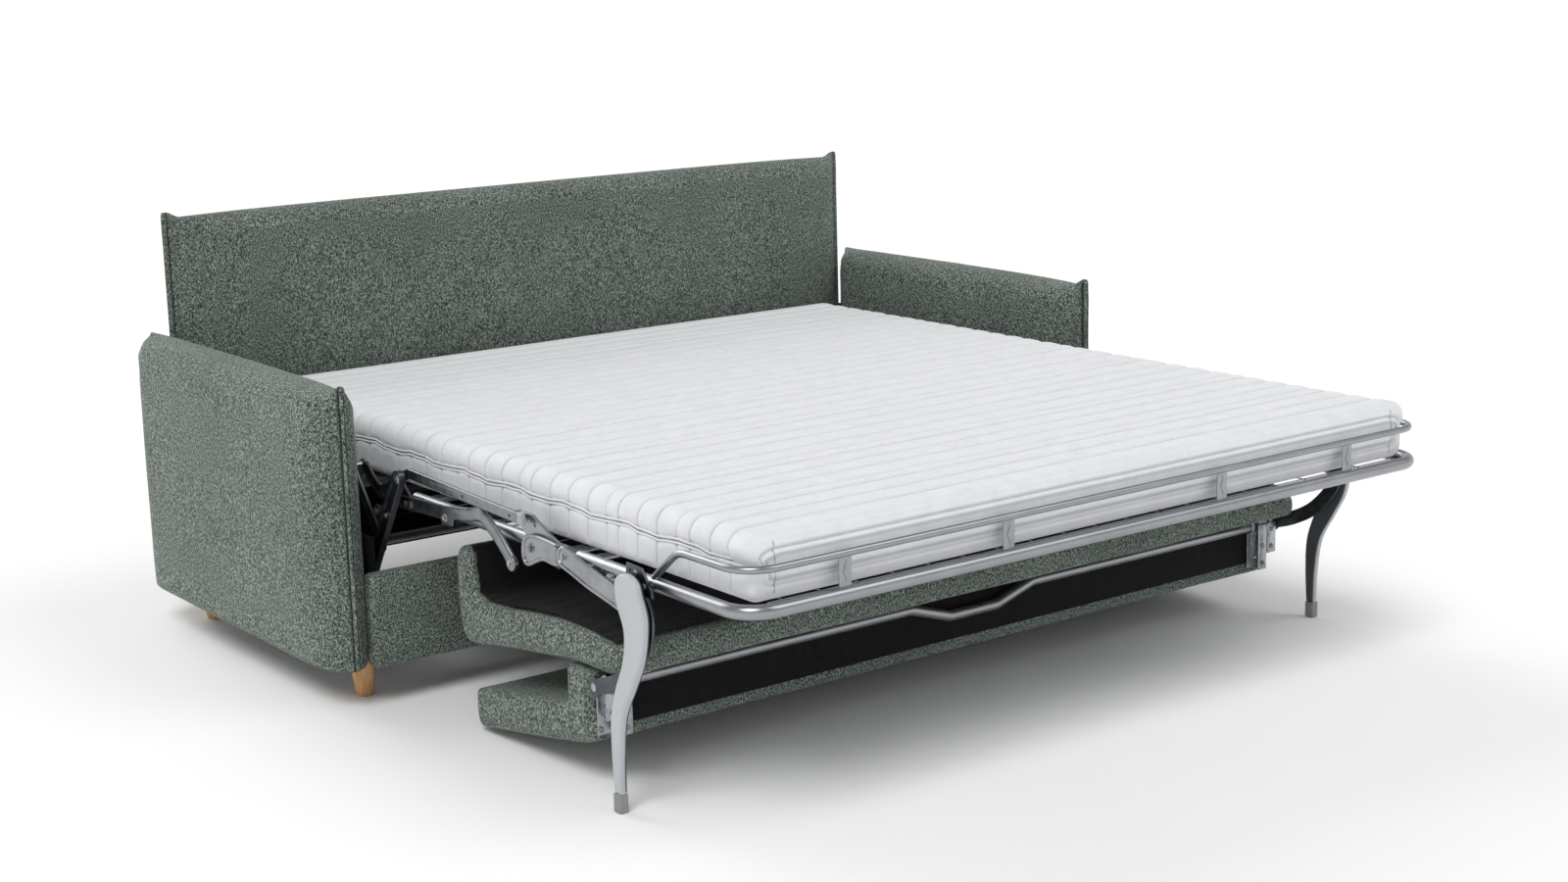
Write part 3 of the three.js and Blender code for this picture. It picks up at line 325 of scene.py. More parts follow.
# Colour ramp with (place, hex) stops
def addRamp(tree, factor, stops):
    ramp = addNode(tree, "ShaderNodeValToRGB", {"Fac": factor})
    while len(ramp.color_ramp.elements) < len(stops):
        ramp.color_ramp.elements.new(1)
    for element, (at, colour) in zip(ramp.color_ramp.elements, stops):
        element.position, element.color = at, linear(colour)
    return ramp.outputs["Color"]


# Noise whose grains are about the given size in millimetres
def addGrain(tree, place, size, detail=2.0, rough=0.5, stretch=(1, 1, 1)):
    if stretch != (1, 1, 1):
        place = addNode(tree, "ShaderNodeMapping", {"Vector": place, "Scale": stretch}).outputs["Vector"]
    inputs = {"Vector": place, "Scale": 1000 / size, "Detail": detail, "Roughness": rough}
    return addNode(tree, "ShaderNodeTexNoise", inputs).outputs["Fac"]


# Threads along the three axes, a spacing in millimetres apart: the sum of three wavering sine waves
def addThreads(tree, place, spacing):
    waves = [addNode(tree, "ShaderNodeTexWave", {"Vector": place, "Scale": 1000 / spacing * math.pi / 10,
                                                "Distortion": 1.6, "Detail": 1.0, "Detail Scale": 2.0},
                     bands_direction=axis).outputs["Fac"] for axis in "XYZ"]
    both = addNode(tree, "ShaderNodeMath", {0: waves[0], 1: waves[1]}, operation="ADD").outputs[0]
    return addNode(tree, "ShaderNodeMath", {0: both, 1: waves[2]}, operation="ADD").outputs[0]


# Bump of a height in millimetres
def addBump(tree, shader, height, depth, strength=1.0, under=None):
    inputs = {"Height": height, "Distance": depth / 1000, "Strength": strength}
    if under is not None:
        inputs["Normal"] = under
    bump = addNode(tree, "ShaderNodeBump", inputs)
    tree.links.new(bump.outputs["Normal"], shader.inputs["Normal"])
    return bump.outputs["Normal"]


# Two colours mixed by a factor; the inputs go by number, as the node has a set of sockets for each data type
def mixed(tree, factor, first, second, blend="MIX"):
    inputs = {0: factor, 6: first, 7: second}
    return addNode(tree, "ShaderNodeMix", inputs, data_type="RGBA", blend_type=blend).outputs[2]


# Woven polyester melange in grey green: matt, with light and dark slubs along the warp and a soft sheen
def coverFinish():
    made, tree, shader, place = newFinish("melange_weave", Roughness=0.92, Specular_IOR_Level=0.2,
                                          Sheen_Weight=0.25, Sheen_Roughness=0.55)
    shader.inputs["Sheen Tint"].default_value = linear("#c3cdc4")
    # slubs of 1.5 mm, drawn twice as coarse and a little longer upwards, so that they show
    flecks = addGrain(tree, place, 2.6, 1.0, 0.6, (1, 0.55, 0.6))
    tone = addRamp(tree, flecks, [(0.36, "#272e29"), (0.44, "#525b55"), (0.55, "#6c756d"), (0.66, "#9ba39b")])
    cloud = addGrain(tree, place, 240, 2.0)
    shade = addRamp(tree, cloud, [(0.3, "#eaeaea"), (0.7, "#ffffff")])
    cloth = mixed(tree, 1.0, tone, shade, "MULTIPLY")
    # painted shade: the colour goes towards near black in the grooves and on the cords along the sewn edges
    painted_shade = addNode(tree, "ShaderNodeAttribute", attribute_name="painted_shade").outputs["Fac"]
    tree.links.new(mixed(tree, painted_shade, cloth, linear("#1d211e")), shader.inputs["Base Color"])
    under = addBump(tree, shader, flecks, 0.3, 0.5)
    addBump(tree, shader, addThreads(tree, place, 3.0), 0.25, 0.6, under)  # yarns 3 mm apart
    return made


# Black spunbond lining: matt, thin, with a faint crushed grain
def liningFinish():
    made, tree, shader, place = newFinish("black_lining", Roughness=0.85, Specular_IOR_Level=0.2,
                                          Sheen_Weight=0.05, Sheen_Roughness=0.5)
    tone = addRamp(tree, addGrain(tree, place, 22, 3.0, 0.6), [(0.3, "#09080b"), (0.7, "#131115")])
    tree.links.new(tone, shader.inputs["Base Color"])
    under = addBump(tree, shader, addGrain(tree, place, 60, 2.0), 2.5, 0.5)
    addBump(tree, shader, addThreads(tree, place, 2.6), 0.15, 0.5, under)  # drawn coarser, so that it shows
    return made


# White circular knit ticking: soft, fine loops in rows, with painted shade in cool grey along its sewn lines
def knitFinish():
    made, tree, shader, place = newFinish("white_knit", Roughness=0.88, Specular_IOR_Level=0.25,
                                          Sheen_Weight=0.25, Sheen_Roughness=0.5)
    tone = addRamp(tree, addGrain(tree, place, 34, 3.0, 0.6), [(0.3, "#d8d9dc"), (0.65, "#dfe0e3")])
    # painted shade: the colour goes towards cool grey along the sewn lines, the zip and the end seams
    painted_shade = addNode(tree, "ShaderNodeAttribute", attribute_name="painted_shade").outputs["Fac"]
    tree.links.new(mixed(tree, painted_shade, tone, linear("#83878e")), shader.inputs["Base Color"])
    under = addBump(tree, shader, addThreads(tree, place, 4.2), 0.22, 0.5)
    addBump(tree, shader, addGrain(tree, place, 42, 2.0, 0.5), 0.5, 0.3, under)
    return made


# Metal: colour and roughness go from one value to the other in soft patches, over fine rubbing marks
def metalFinish(name, light, dark, low, high, mark=0.05, patch=35.0, stretch=(1, 1, 1)):
    made, tree, shader, place = newFinish(name, Metallic=1.0)
    patches = addGrain(tree, place, patch, 4.0, 0.6, stretch)
    tree.links.new(addRamp(tree, patches, [(0.3, dark), (0.7, light)]), shader.inputs["Base Color"])
    rough = addNode(tree, "ShaderNodeMapRange", {"Value": patches, "From Min": 0.3, "From Max": 0.7,
                                                 "To Min": low, "To Max": high})
    tree.links.new(rough.outputs["Result"], shader.inputs["Roughness"])
    addBump(tree, shader, addGrain(tree, place, 2.4, 3.0, 0.6, stretch), mark, 0.5)
    return made


# Moulded plastic: a nearly even colour with a fine spark-eroded grain
def plasticFinish(name, light, dark, roughness, grain=1.2, depth=0.04):
    made, tree, shader, place = newFinish(name, Roughness=roughness, Specular_IOR_Level=0.5)
    tone = addRamp(tree, addGrain(tree, place, 90, 3.0), [(0.3, dark), (0.7, light)])
    tree.links.new(tone, shader.inputs["Base Color"])
    addBump(tree, shader, addGrain(tree, place, grain, 2.0), depth, 0.5)
    return made


# Oiled beech: warm and pale, with grain along the foot and short darker flecks
def beechFinish():
    made, tree, shader, place = newFinish("oiled_beech", Roughness=0.42, Specular_IOR_Level=0.45)
    grain = addGrain(tree, place, 5, 4.0, 0.6, (1, 1, 0.06))
    fleck = addGrain(tree, place, 1.6, 1.0, 0.5, (1, 1, 0.25))
    tone = addRamp(tree, grain, [(0.3, "#b98a57"), (0.5, "#cf9f6b"), (0.72, "#dcb383")])
    spots = addRamp(tree, fleck, [(0.32, "#a8784a"), (0.42, "#ffffff")])
    tree.links.new(mixed(tree, 0.45, tone, spots, "MULTIPLY"), shader.inputs["Base Color"])
    addBump(tree, shader, grain, 0.12, 0.5)
    return made


finishes = {
    "cover": coverFinish(),
    "lining": liningFinish(),
    "knit": knitFinish(),
    "tube": metalFinish("satin_steel_tube", "#a3a5a8", "#97999c", 0.27, 0.36, 0.02, 60),
    "plate": metalFinish("dark_pressed_steel", "#606267", "#4a4c50", 0.28, 0.42, 0.1, 24),
    "stamped": metalFinish("stamped_steel", "#93969a", "#7b7e82", 0.24, 0.38, 0.08, 24),
    "bright": metalFinish("bright_stamped_steel", "#a5a7aa", "#8f9194", 0.26, 0.36, 0.06, 40),
    "zinc": metalFinish("bright_zinc_steel", "#bcbfc2", "#96999d", 0.24, 0.4, 0.1, 18),
    "net": metalFinish("net_wire", "#8a8d90", "#74777a", 0.35, 0.5),
    "cap": plasticFinish("light_grey_cap", "#a9adb0", "#a0a4a7", 0.45),
    "leg": plasticFinish("pale_grey_leg", "#b8bcc0", "#b0b5b9", 0.42),
    "ribbed": plasticFinish("dark_grey_leg_ribs", "#4b4d50", "#434548", 0.5),
    "tip": plasticFinish("grey_leg_tip", "#8f8f8d", "#868684", 0.6),
    "beech": beechFinish(),
}
print("materials made:", len(finishes))

# Sofa body

arm = {"depth": 927, "top": 635, "bottom": 78, "half": 58, "x": 967, "crown": 46, "ear": (6, 2),
       "dip": (8, 0), "fullness": (12, 25), "corners": (18, 5)}
back = {"width": 1858, "top": 889, "bottom": 78, "half": 45, "y": 916, "crown": 46, "ear": (7, 7),
        "dip": (5, 5), "fullness": (16, 16), "corners": (12, 12)}
# Sewn edge of a panel, mm: its width, half thicknesses at the edge and in the stitched line, the welt
# behind it, and how the top drops beside the ear
flange = {"width": 10, "half": 5.0, "stitch": 1.2, "welt": 7.0, "dropAt": 42, "recover": 150, "dense": 30,
          "thread": 0.9}


# Smooth noise over a surface: octaves of four sine waves each, with directions and phases drawn from a seed,
# each octave finer and half as strong; about -1 to 1
def ripple(a, b, size, seed, octaves=3):
    draw = np.random.default_rng(seed)
    total = np.zeros(np.broadcast(a, b).shape)
    for octave in range(octaves):
        turn, phase = draw.uniform(0, 2 * np.pi, 4), draw.uniform(0, 2 * np.pi, 4)
        for angle, shift in zip(turn, phase):
            along = a * np.cos(angle) + b * np.sin(angle)
            total += np.sin(along * 2 * np.pi / size + shift) * 0.5 ** octave
        size *= 0.55
    return total / 6


# Pillow panel: two crowned faces between sewn edges, closed over the top by a half ellipse. Half thickness =
# seam + (half - seam) * (1 - |s|^fullness)^0.7 for the share s along it, and the corners rise into ears.
def pillowPanel(spec, length, seed, steps=90):
    dense = flange["dense"]
    near = np.concatenate([np.linspace(0, dense, 41)[:-1],
                           dense + (length / 2 - dense) * np.linspace(0, 1, steps) ** 1.4])
    along = np.concatenate([near, (length - near[:-1])[::-1]])
    edge = np.minimum(along, length - along)
    inner = np.clip(1 - (edge - flange["width"]) / (length / 2 - flange["width"]), 0, 1)
    swell = (1 - inner ** np.where(along < length / 2, *spec["fullness"])) ** 0.7
    half = flange["stitch"] + (spec["half"] - flange["stitch"]) * swell
    behind = edge - flange["width"]
    half = np.maximum(half, flange["welt"] * np.sqrt(np.clip(behind / 4, 0, 1)))
    half = half * (1 - 0.22 * np.exp(-((behind - 11) / 2.2) ** 2))  # a soft dent behind the welt
    tape = np.sqrt(np.clip(1 - ((edge - flange["width"] / 2) / (flange["width"] / 2 + 0.4)) ** 4, 0.1, 1))
    half = np.where(edge < flange["width"], np.maximum(flange["half"] * tape, flange["stitch"]), half)
    drop = flange["dropAt"]
    fall = np.clip((edge - flange["width"]) / (drop - flange["width"]), 0, 1)
    fall = fall * fall * (3 - 2 * fall)
    ear, dip, bend = (np.where(along < length / 2, *spec[key]) for key in ("ear", "dip", "corners"))
    rest = -dip * np.exp(-np.clip(edge - drop, 0, None) / flange["recover"])
    top = spec["top"] + ear * (1 - fall) + rest * fall
    top -= 3.5 * np.clip(1 - edge / 3.5, 0, 1) ** 2
    low = spec["bottom"] + bend - np.sqrt(np.clip(bend ** 2 - np.clip(bend - edge, 0, bend) ** 2, 0, None))
    crown = np.minimum(spec["crown"], 2 * half)
    foot = np.minimum(11, half * 0.8)
    up = np.linspace(0, 1, 44)[None]
    arcs = np.linspace(0, np.pi, 17)[None]
    corner = np.linspace(np.pi / 2, 0, 6)[None]
    h, c, f, t, b = (v[:, None] for v in (half, crown, foot, top, low))
    rise = b + f + up * (t - c - b - f)
    pinch = 1 - 0.04 * np.abs(2 * up - 1) ** 6
    wall, wallUp = (h * pinch)[:, 1:-1], rise[:, 1:-1]
    turnIn, turnUp = (h * 0.96 - f) + f * np.cos(corner), b + f - f * np.sin(corner)
    across = np.concatenate([turnIn, wall, h * 0.96 * np.cos(arcs), -wall[:, ::-1], -turnIn[:, ::-1]], 1)
    level = np.concatenate([turnUp, wallUp, t - c + c * np.sin(arcs), wallUp[:, ::-1], turnUp[:, ::-1]], 1)
    place = np.broadcast_to(along[:, None], across.shape)
    fade = np.clip((edge - 14) / 60, 0, 1)[:, None] * np.clip(np.abs(across) / (0.5 * h), 0, 1)
    soft = ripple(place, level + 900 * (across > 0), 420, seed) * 1.6
    creases = np.zeros_like(across)  # they fan out from both top corners
    for end in (0, length):
        far = np.hypot(place - end, level - spec["top"])
        turn = np.arctan2(spec["top"] - level, np.abs(place - end) + 1)
        creases += np.sin(turn * 15 + seed) * np.exp(-(far / 75) ** 2) * np.clip((far - 12) / 30, 0, 1) * 2.2
    across = across + np.sign(across) * (soft * fade + creases * np.clip(np.abs(across) / h, 0, 1))
    # painted shade: a narrow band along the groove of the stitched line, just behind the flange
    grooveShade = np.exp(-((edge - flange["width"] - 0.6) / 1.3) ** 2)[:, None] * np.ones_like(across)
    return place, across, level, grooveShade


# Panel with a sewn line down the middle of both edges, and the painted shade of each of its points
def sewnPanel(grid, grooveShade, spec):
    rise = np.linspace(spec["bottom"] + 14, spec["top"] - 1, 60)
    shapes = [gridShape(grid)]
    for row, beyond in ((grid[0], grid[1]), (grid[-1], grid[-2])):
        x, y, _ = row.mean(0) + (row.mean(0) - beyond.mean(0)) * 0.2
        shapes.append(tubeShape([(x, y, z) for z in rise], flange["thread"], 6, (0.8, 0.6, 0)))
    shape = gather(shapes)
    # painted shade: full on the thin cords of the sewn lines, the groove's band on the panel
    return shape, np.concatenate([grooveShade.ravel(), np.ones(len(shape[0]) - grooveShade.size)])


for name, side in sides.items():
    along, across, level, grooveShade = pillowPanel(arm, arm["depth"], 3 + side)
    shape, painted_shade = sewnPanel(np.stack([side * arm["x"] + across, along, level], -1), grooveShade, arm)
    panel = makePiece(f"arm_pillow_{name}", shape, finishes["cover"], "base", [f"arm_{name}"],
                      60, painted_shade)
along, across, level, grooveShade = pillowPanel(back, back["width"], 11, 300)
shape, painted_shade = sewnPanel(np.stack([along - back["width"] / 2, back["y"] + across, level], -1), grooveShade, back)
panel = makePiece("back_pillow", shape, finishes["cover"], "base", ["back_panel"], 60, painted_shade)

rail = {"low": (-932.6, 2, 78), "high": (932.6, 40, 265), "round": 11}
panel = makePiece("front_rail_pad", softBox(rail["low"], rail["high"], rail["round"], 5), finishes["cover"],
                  "base", ["front_rail"], 50)

foot = {"top": 27, "bottom": 17, "height": 77.7, "x": 912, "inset": 101}
top, bottom, height = foot["top"], foot["bottom"], foot["height"]
footProfile = [(0, 0.05), (0, bottom - 2.5), (0.8, bottom - 0.8), (2.8, bottom),
               (height * 0.5, (top + bottom) / 2 + 0.4), (height - 5, top - 0.6), (height - 2, top),
               (height - 0.5, top - 0.8), (height, top - 2), (height, 0.05)]
for name, side in sides.items():
    for end, y in (("front", foot["inset"]), ("rear", arm["depth"] - foot["inset"])):
        shape = turnedShape(footProfile, (side * foot["x"], y, 0), "z", 40)
        makePiece(f"turned_foot_{end}_{name}", shape, finishes["beech"], "base",
                  [f"foot_{end}_{name}"], 40)
print("sofa body made")

# Mattress

# Its zip is level near both ends, its lower corners have the radius under, and its end face is drawn in
# row by row and sunk beside its border, whose upright seams stand at the distance border from the middle
mattress = {"half": 800, "low": 409, "high": 525, "zip": 474, "corner": 34, "under": 20, "front": -1071,
            "rear": 790, "footFold": -580, "cuts": (11, 187), "gap": 0.4, "widths": (64, 60, 62, 38),
            "depth": 9, "endRound": 19, "piping": 2.2, "apart": 3.4, "zipStill": 26, "border": 757,
            "bulge": 13,  # of its two front corners
            "faceDraws": (2, 5, 8, 10, 11.5, 13, 16, 21, 27),
            "faceSinks": (-1.5, -2.5, -2.2, -0.8, 1.2, 0.2, -3, -4.5, -5, -3)}


# Places of the sewn lines between two cuts: the pattern of widths, stretched to fit
def channelLines(start, end):
    count, widths = 0, []
    while sum(widths) < end - start - 24:
        widths.append(mattress["widths"][count % len(mattress["widths"])])
        count += 1
    places = np.concatenate([[0], np.cumsum(widths)])
    return start + places * (end - start) / places[-1]


# Section of the mattress as x, z and outward normals: a rectangle with round corners, larger ones above
def mattressRing():
    half, low, high = (float(mattress[key]) for key in ("half", "low", "high"))
    bend, under = mattress["corner"], mattress["under"]
    flat = np.sin(np.linspace(-np.pi / 2, np.pi / 2, 60)) * (half - bend)
    sine, cosine = (wave(np.linspace(0, np.pi / 2, 15)[1:]) for wave in (np.sin, np.cos))
    wall = np.linspace(low + under, high - bend, 16)[::-1][1:]
    base = np.linspace(-(half - under), half - under, 26)[1:-1]
    parts = [(flat[::-1], high + 0 * flat, 0 * flat, 1 + 0 * flat),
             (-(half - bend) - bend * sine, high - bend + bend * cosine, -sine, cosine),
             (-half + 0 * wall, wall, -1 + 0 * wall, 0 * wall),
             (-(half - under) - under * cosine, low + under - under * sine, -cosine, -sine),
             (base, low + 0 * base, 0 * base, -1 + 0 * base)]
    left = slice(len(flat), -len(base))
    values = [np.concatenate([part[k] for part in parts]) for k in range(4)]
    return [np.concatenate([row, sign * row[left][::-1]]) for row, sign in zip(values, (-1, 1, -1, 1))]


# Height of the zip over its mean place: two slow waves along the side that fade towards the mattress's ends
def zipWave(place):
    front, rear, still = mattress["front"], mattress["rear"], mattress["zipStill"]
    fade = np.clip((place - front - still) / 60, 0, 1) * np.clip((rear - still - place) / 60, 0, 1)
    return fade * (3.0 * np.sin(place * 2 * np.pi / 185) + 1.2 * np.sin(place * 2 * np.pi / 71 + 1))


# Rows of a part: its sewn lines, with one on each joint of the sections, close rows between them, and how far
# each row draws in at a round end, by a quarter circle
def mattressRows(start, end, roundStart, roundEnd):
    joints = [place for place in (mattress["footFold"], *mattress["cuts"]) if start + 1 < place < end - 1]
    places = [start, *joints, end]
    lines = np.concatenate([channelLines(a, b)[:-1] for a, b in zip(places, places[1:])] + [[end]])
    fine = (1 - np.cos(np.linspace(0, np.pi, 17)))[:-1] / 2
    along = np.concatenate([a + (b - a) * fine for a, b in zip(lines, lines[1:])] + [[end]])
    inset = np.zeros(len(along))
    bend = mattress["endRound"]
    for active, place, sense in ((roundStart, start, 1), (roundEnd, end, -1)):
        if active:
            short = np.clip(bend - sense * (along - place), 0, bend)
            inset = np.maximum(inset, bend - np.sqrt(np.clip(bend ** 2 - short ** 2, 0, None)))
    return lines, along, inset


# End face: the last ring drawn in towards the middle, row by row, and sunk beside its border and two seams
def endFace(ring, sense):
    low, high = mattress["low"], mattress["high"]
    middle, height = (low + high) / 2, (ring[:, 2].max() - ring[:, 2].min()) / 2
    draws = np.array([*mattress["faceDraws"], height - 1.0])
    sink = np.array(mattress["faceSinks"]) * sense * -1
    across, reach = ring[None, :, 0], np.abs(ring[None, :, 0])
    x = across - np.sign(across) * np.minimum(draws[:, None], reach) * (reach > 100)
    z = middle + (ring[None, :, 2] - middle) * (1 - draws[:, None] / height)
    y = ring[None, :, 1] + sink[:, None] + 0 * x
    rise = np.linspace(low + 13, high - 13, 24)
    seamY = ring[:, 1].mean() + np.interp(np.minimum(42, height - np.abs(rise - middle)), draws, sink)
    seams = [tubeShape(np.stack([np.full(24, far), seamY, rise], -1), 1.1, 6)
             for far in (-mattress["border"], mattress["border"])]
    return np.stack([x, y, z], -1), seams


# Part of the mattress between two places, and the painted shade of its points. Across each channel c the
# cover is pulled in by 0.45 |2c - 1|^3.2 + 0.55 |2c - 1|^14 of the depth, and along the zip by a narrow bell.
def mattressPart(start, end, roundStart, roundEnd):
    lines, along, inset = mattressRows(start, end, roundStart, roundEnd)
    index = np.clip(np.searchsorted(lines, along, side="right") - 1, 0, len(lines) - 2)
    width = lines[index + 1] - lines[index]
    channel = (along - lines[index]) / width
    beside = np.abs(2 * channel - 1)
    seam = 0.45 * beside ** 3.2 + 0.55 * beside ** 14
    if roundStart:
        seam = np.where((index == 0) & (channel < 0.5), 0, seam)
    if roundEnd:
        seam = np.where((index == len(lines) - 2) & (channel > 0.5), 0, seam)
    x, z, nx, nz = mattressRing()
    y = along[:, None]
    flatTop = np.clip(nz, 0, 1)
    low = np.clip((mattress["zip"] - z) / 20, 0, 1)
    depth = mattress["depth"] * (0.7 * flatTop + 0.85 * (1 - np.abs(nz)) * (1 - 0.5 * low)) * (nz > -0.5)
    edge = np.exp(-((np.abs(x) - mattress["half"] + 30) / 45) ** 2) * flatTop
    pinch = 5 * np.exp(-((z[None] - mattress["zip"] - zipWave(y)) / 6.5) ** 2)
    pinch = pinch * (np.abs(x) > mattress["half"] - 2)[None]
    move = -(depth * (1 + 0.35 * edge))[None] * (seam * (0.7 + 0.3 * (width / 62)))[:, None] - pinch
    move += ripple(x[None], y * 2.5 + 3 * z[None], 330, 5) * 0.9 * (nz > -0.5)[None] - 0.8
    fade = 0.62 + 0.35 * ripple(x[None], y * 4, 260, 31)
    # painted shade: grey in the last part of each channel beside its sewn line, and along the zip's pinch
    shadow = np.clip((beside[:, None] - 0.86) / 0.14, 0, 1) ** 2 * fade * (nz > -0.3)[None]
    shadow = np.where(seam[:, None] > 0, shadow, 0) * (0.6 + 0.4 * flatTop[None])
    shadow = np.maximum(shadow, 0.3 * (pinch / 5) ** 2)
    gx = x[None] + nx[None] * move
    gz = z[None] + nz[None] * move
    # the nearer to a round end, the more the whole section draws in
    middle = (mattress["low"] + mattress["high"]) / 2
    gx = gx - np.sign(gx) * np.minimum(0.6 * inset[:, None], np.abs(gx)) * (np.abs(gx) > 100)
    if roundStart:
        corner = np.exp(-((along - start - 20) / 55) ** 2)[:, None]
        corner = corner * np.clip((np.abs(gx) - 690) / 110, 0, 1) ** 2
        gx = gx + np.sign(gx) * mattress["bulge"] * corner * np.clip((gz - 462) / 45, 0, 1)
    gz = middle + (gz - middle) * (1 - inset[:, None] / (middle - mattress["low"]) * 0.86)
    still = np.clip(np.minimum(along - start, end - along) / 50, 0, 1)[:, None]
    gy = y + 2.4 * still * ripple(x[None], y * 1.6, 430, 17)
    grid, seams = np.stack([gx, gy, gz], -1), []
    for active, row, sense in ((roundStart, 0, -1), (roundEnd, -1, 1)):
        if active:
            face, borders = endFace(grid[row], sense)
            # painted shade of 0.55 on one row of the end face's rings, none on the rest
            faceShade = np.zeros(face.shape[:2])
            faceShade[2] = 0.55
            pairs = ((face[::-1], grid), (faceShade, shadow)) if roundStart else ((grid, face), (shadow, faceShade))
            grid, shadow = (np.concatenate(pair) for pair in pairs)
            seams += borders if roundStart else []
    shape = gather([gridShape(grid), *seams, *pipings(start, end, roundStart, roundEnd)])
    # painted shade: 0.6 on the seam cords of the end face, none on the pipings
    sewn = sum(len(points) for points, _ in seams)
    rest = len(shape[0]) - shadow.size - sewn
    return shape, np.concatenate([shadow.ravel(), np.full(sewn, 0.6), np.zeros(rest)])


# Two cords sewn in along the zip, round an end where the part has one: they follow its waves, with small
# puckers 62 mm apart
def pipings(start, end, roundStart, roundEnd):
    reach, shapes = mattress["half"] - 3.5, []
    near, far = (end - 2, start + 2) if roundStart else (start + 2, end - 2)
    for offset in (-mattress["apart"], mattress["apart"]):
        level = mattress["zip"] + offset
        corners = [(-reach, near, level), (-reach, far, level), (reach, far, level), (reach, near, level)]
        closed = roundStart or roundEnd
        for path in [bentPath(corners, 24)] if closed else np.array([corners[:2], corners[:1:-1]], float):
            run = np.concatenate([[0], np.cumsum(np.linalg.norm(np.diff(path, axis=0), axis=1))])
            dense = np.unique(np.concatenate([run, np.arange(0, run[-1], 30)]))
            line = np.stack([np.interp(dense, run, path[:, k]) for k in range(3)], -1)
            line[:, 2] += zipWave(line[:, 1]) + 0.4 * np.sin(dense / 62 * 2 * np.pi) * np.sign(offset)
            shapes.append(tubeShape(line, mattress["piping"], 8))
    return shapes


(cutA, cutB), share = mattress["cuts"], mattress["gap"] / 2
parts = {"front": ((mattress["front"], cutA - share, True, False), None,
                   ["mattress_foot", "mattress_middle"]),
         "bend": ((cutA + share, cutB - share, False, False), "fold", ["mattress_fold"]),
         "rear": ((cutB + share, mattress["rear"], False, True), "head", ["mattress_head"])}
for name, (stretch, body, stands) in parts.items():
    shape, painted_shade = mattressPart(*stretch)
    bedding = makePiece(f"mattress_{name}", shape, finishes["knit"], body, stands, 70,
                        painted_shade)
    if name == "front":
        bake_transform(bedding)
    if name == "bend":
        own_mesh(bedding)
print("mattress made")

# Cushions that hang under the bed. Their outlines are shares of the length, from the edge next to the sofa
# towards the foot of the bed, and of the height.
cushions = {"round": 13, "crown": 4}
cushions["seat"] = {"half": 852, "front": -182, "length": 573, "low": 165, "height": 185, "shares": [
    (0.031, 1), (0.006, 0.9), (0, 0.56), (0.012, 0.19), (0.055, 0), (0.206, 0.062), (0.433, 0.16),
    (0.682, 0.262), (0.904, 0.28), (0.983, 0.31), (1, 0.405), (0.995, 0.52), (0.974, 0.58), (0.9, 0.61),
    (0.8, 0.635), (0.69, 0.64), (0.55, 0.62), (0.42, 0.57), (0.28, 0.525), (0.19, 0.51), (0.14, 0.535),
    (0.118, 0.64), (0.106, 0.85), (0.096, 0.97), (0.075, 1)]}
cushions["back"] = {"half": 854, "front": -235, "length": 425, "low": 8, "height": 204, "shares": [
    (0, 0.16), (0.005, 0.3), (0.035, 0.375), (0.39, 0.5), (0.75, 0.635), (0.778, 0.7), (0.784, 0.94),
    (0.8, 0.985), (0.976, 1), (1, 0.965), (1, 0.65), (1, 0.42), (0.975, 0.36), (0.835, 0.28), (0.435, 0.13),
    (0.07, 0.004), (0.018, 0.035)]}


# Places in Y and Z of a cushion's shares
def placed(spec, shares):
    front, length, low, height = (spec[key] for key in ("front", "length", "low", "height"))
    return np.array([(front - u * length, low + v * height) for u, v in shares])


# Closed outline in evenly spaced points, found along its run of lengths
def evenRing(ring, count):
    closed = np.vstack([ring, ring[:1]])
    run = np.concatenate([[0], np.cumsum(np.linalg.norm(np.diff(closed, axis=0), axis=1))])
    places = np.linspace(0, run[-1], count, endpoint=False)
    return np.column_stack([np.interp(places, run, closed[:, axis]) for axis in (0, 1)])


# Outline with its corners rounded: each point becomes half itself and a quarter of both neighbours, for
# a number of rounds
def softened(ring, rounds):
    for _ in range(rounds):
        ring = (np.roll(ring, 1, 0) + 2 * ring + np.roll(ring, -1, 0)) / 4
    return ring


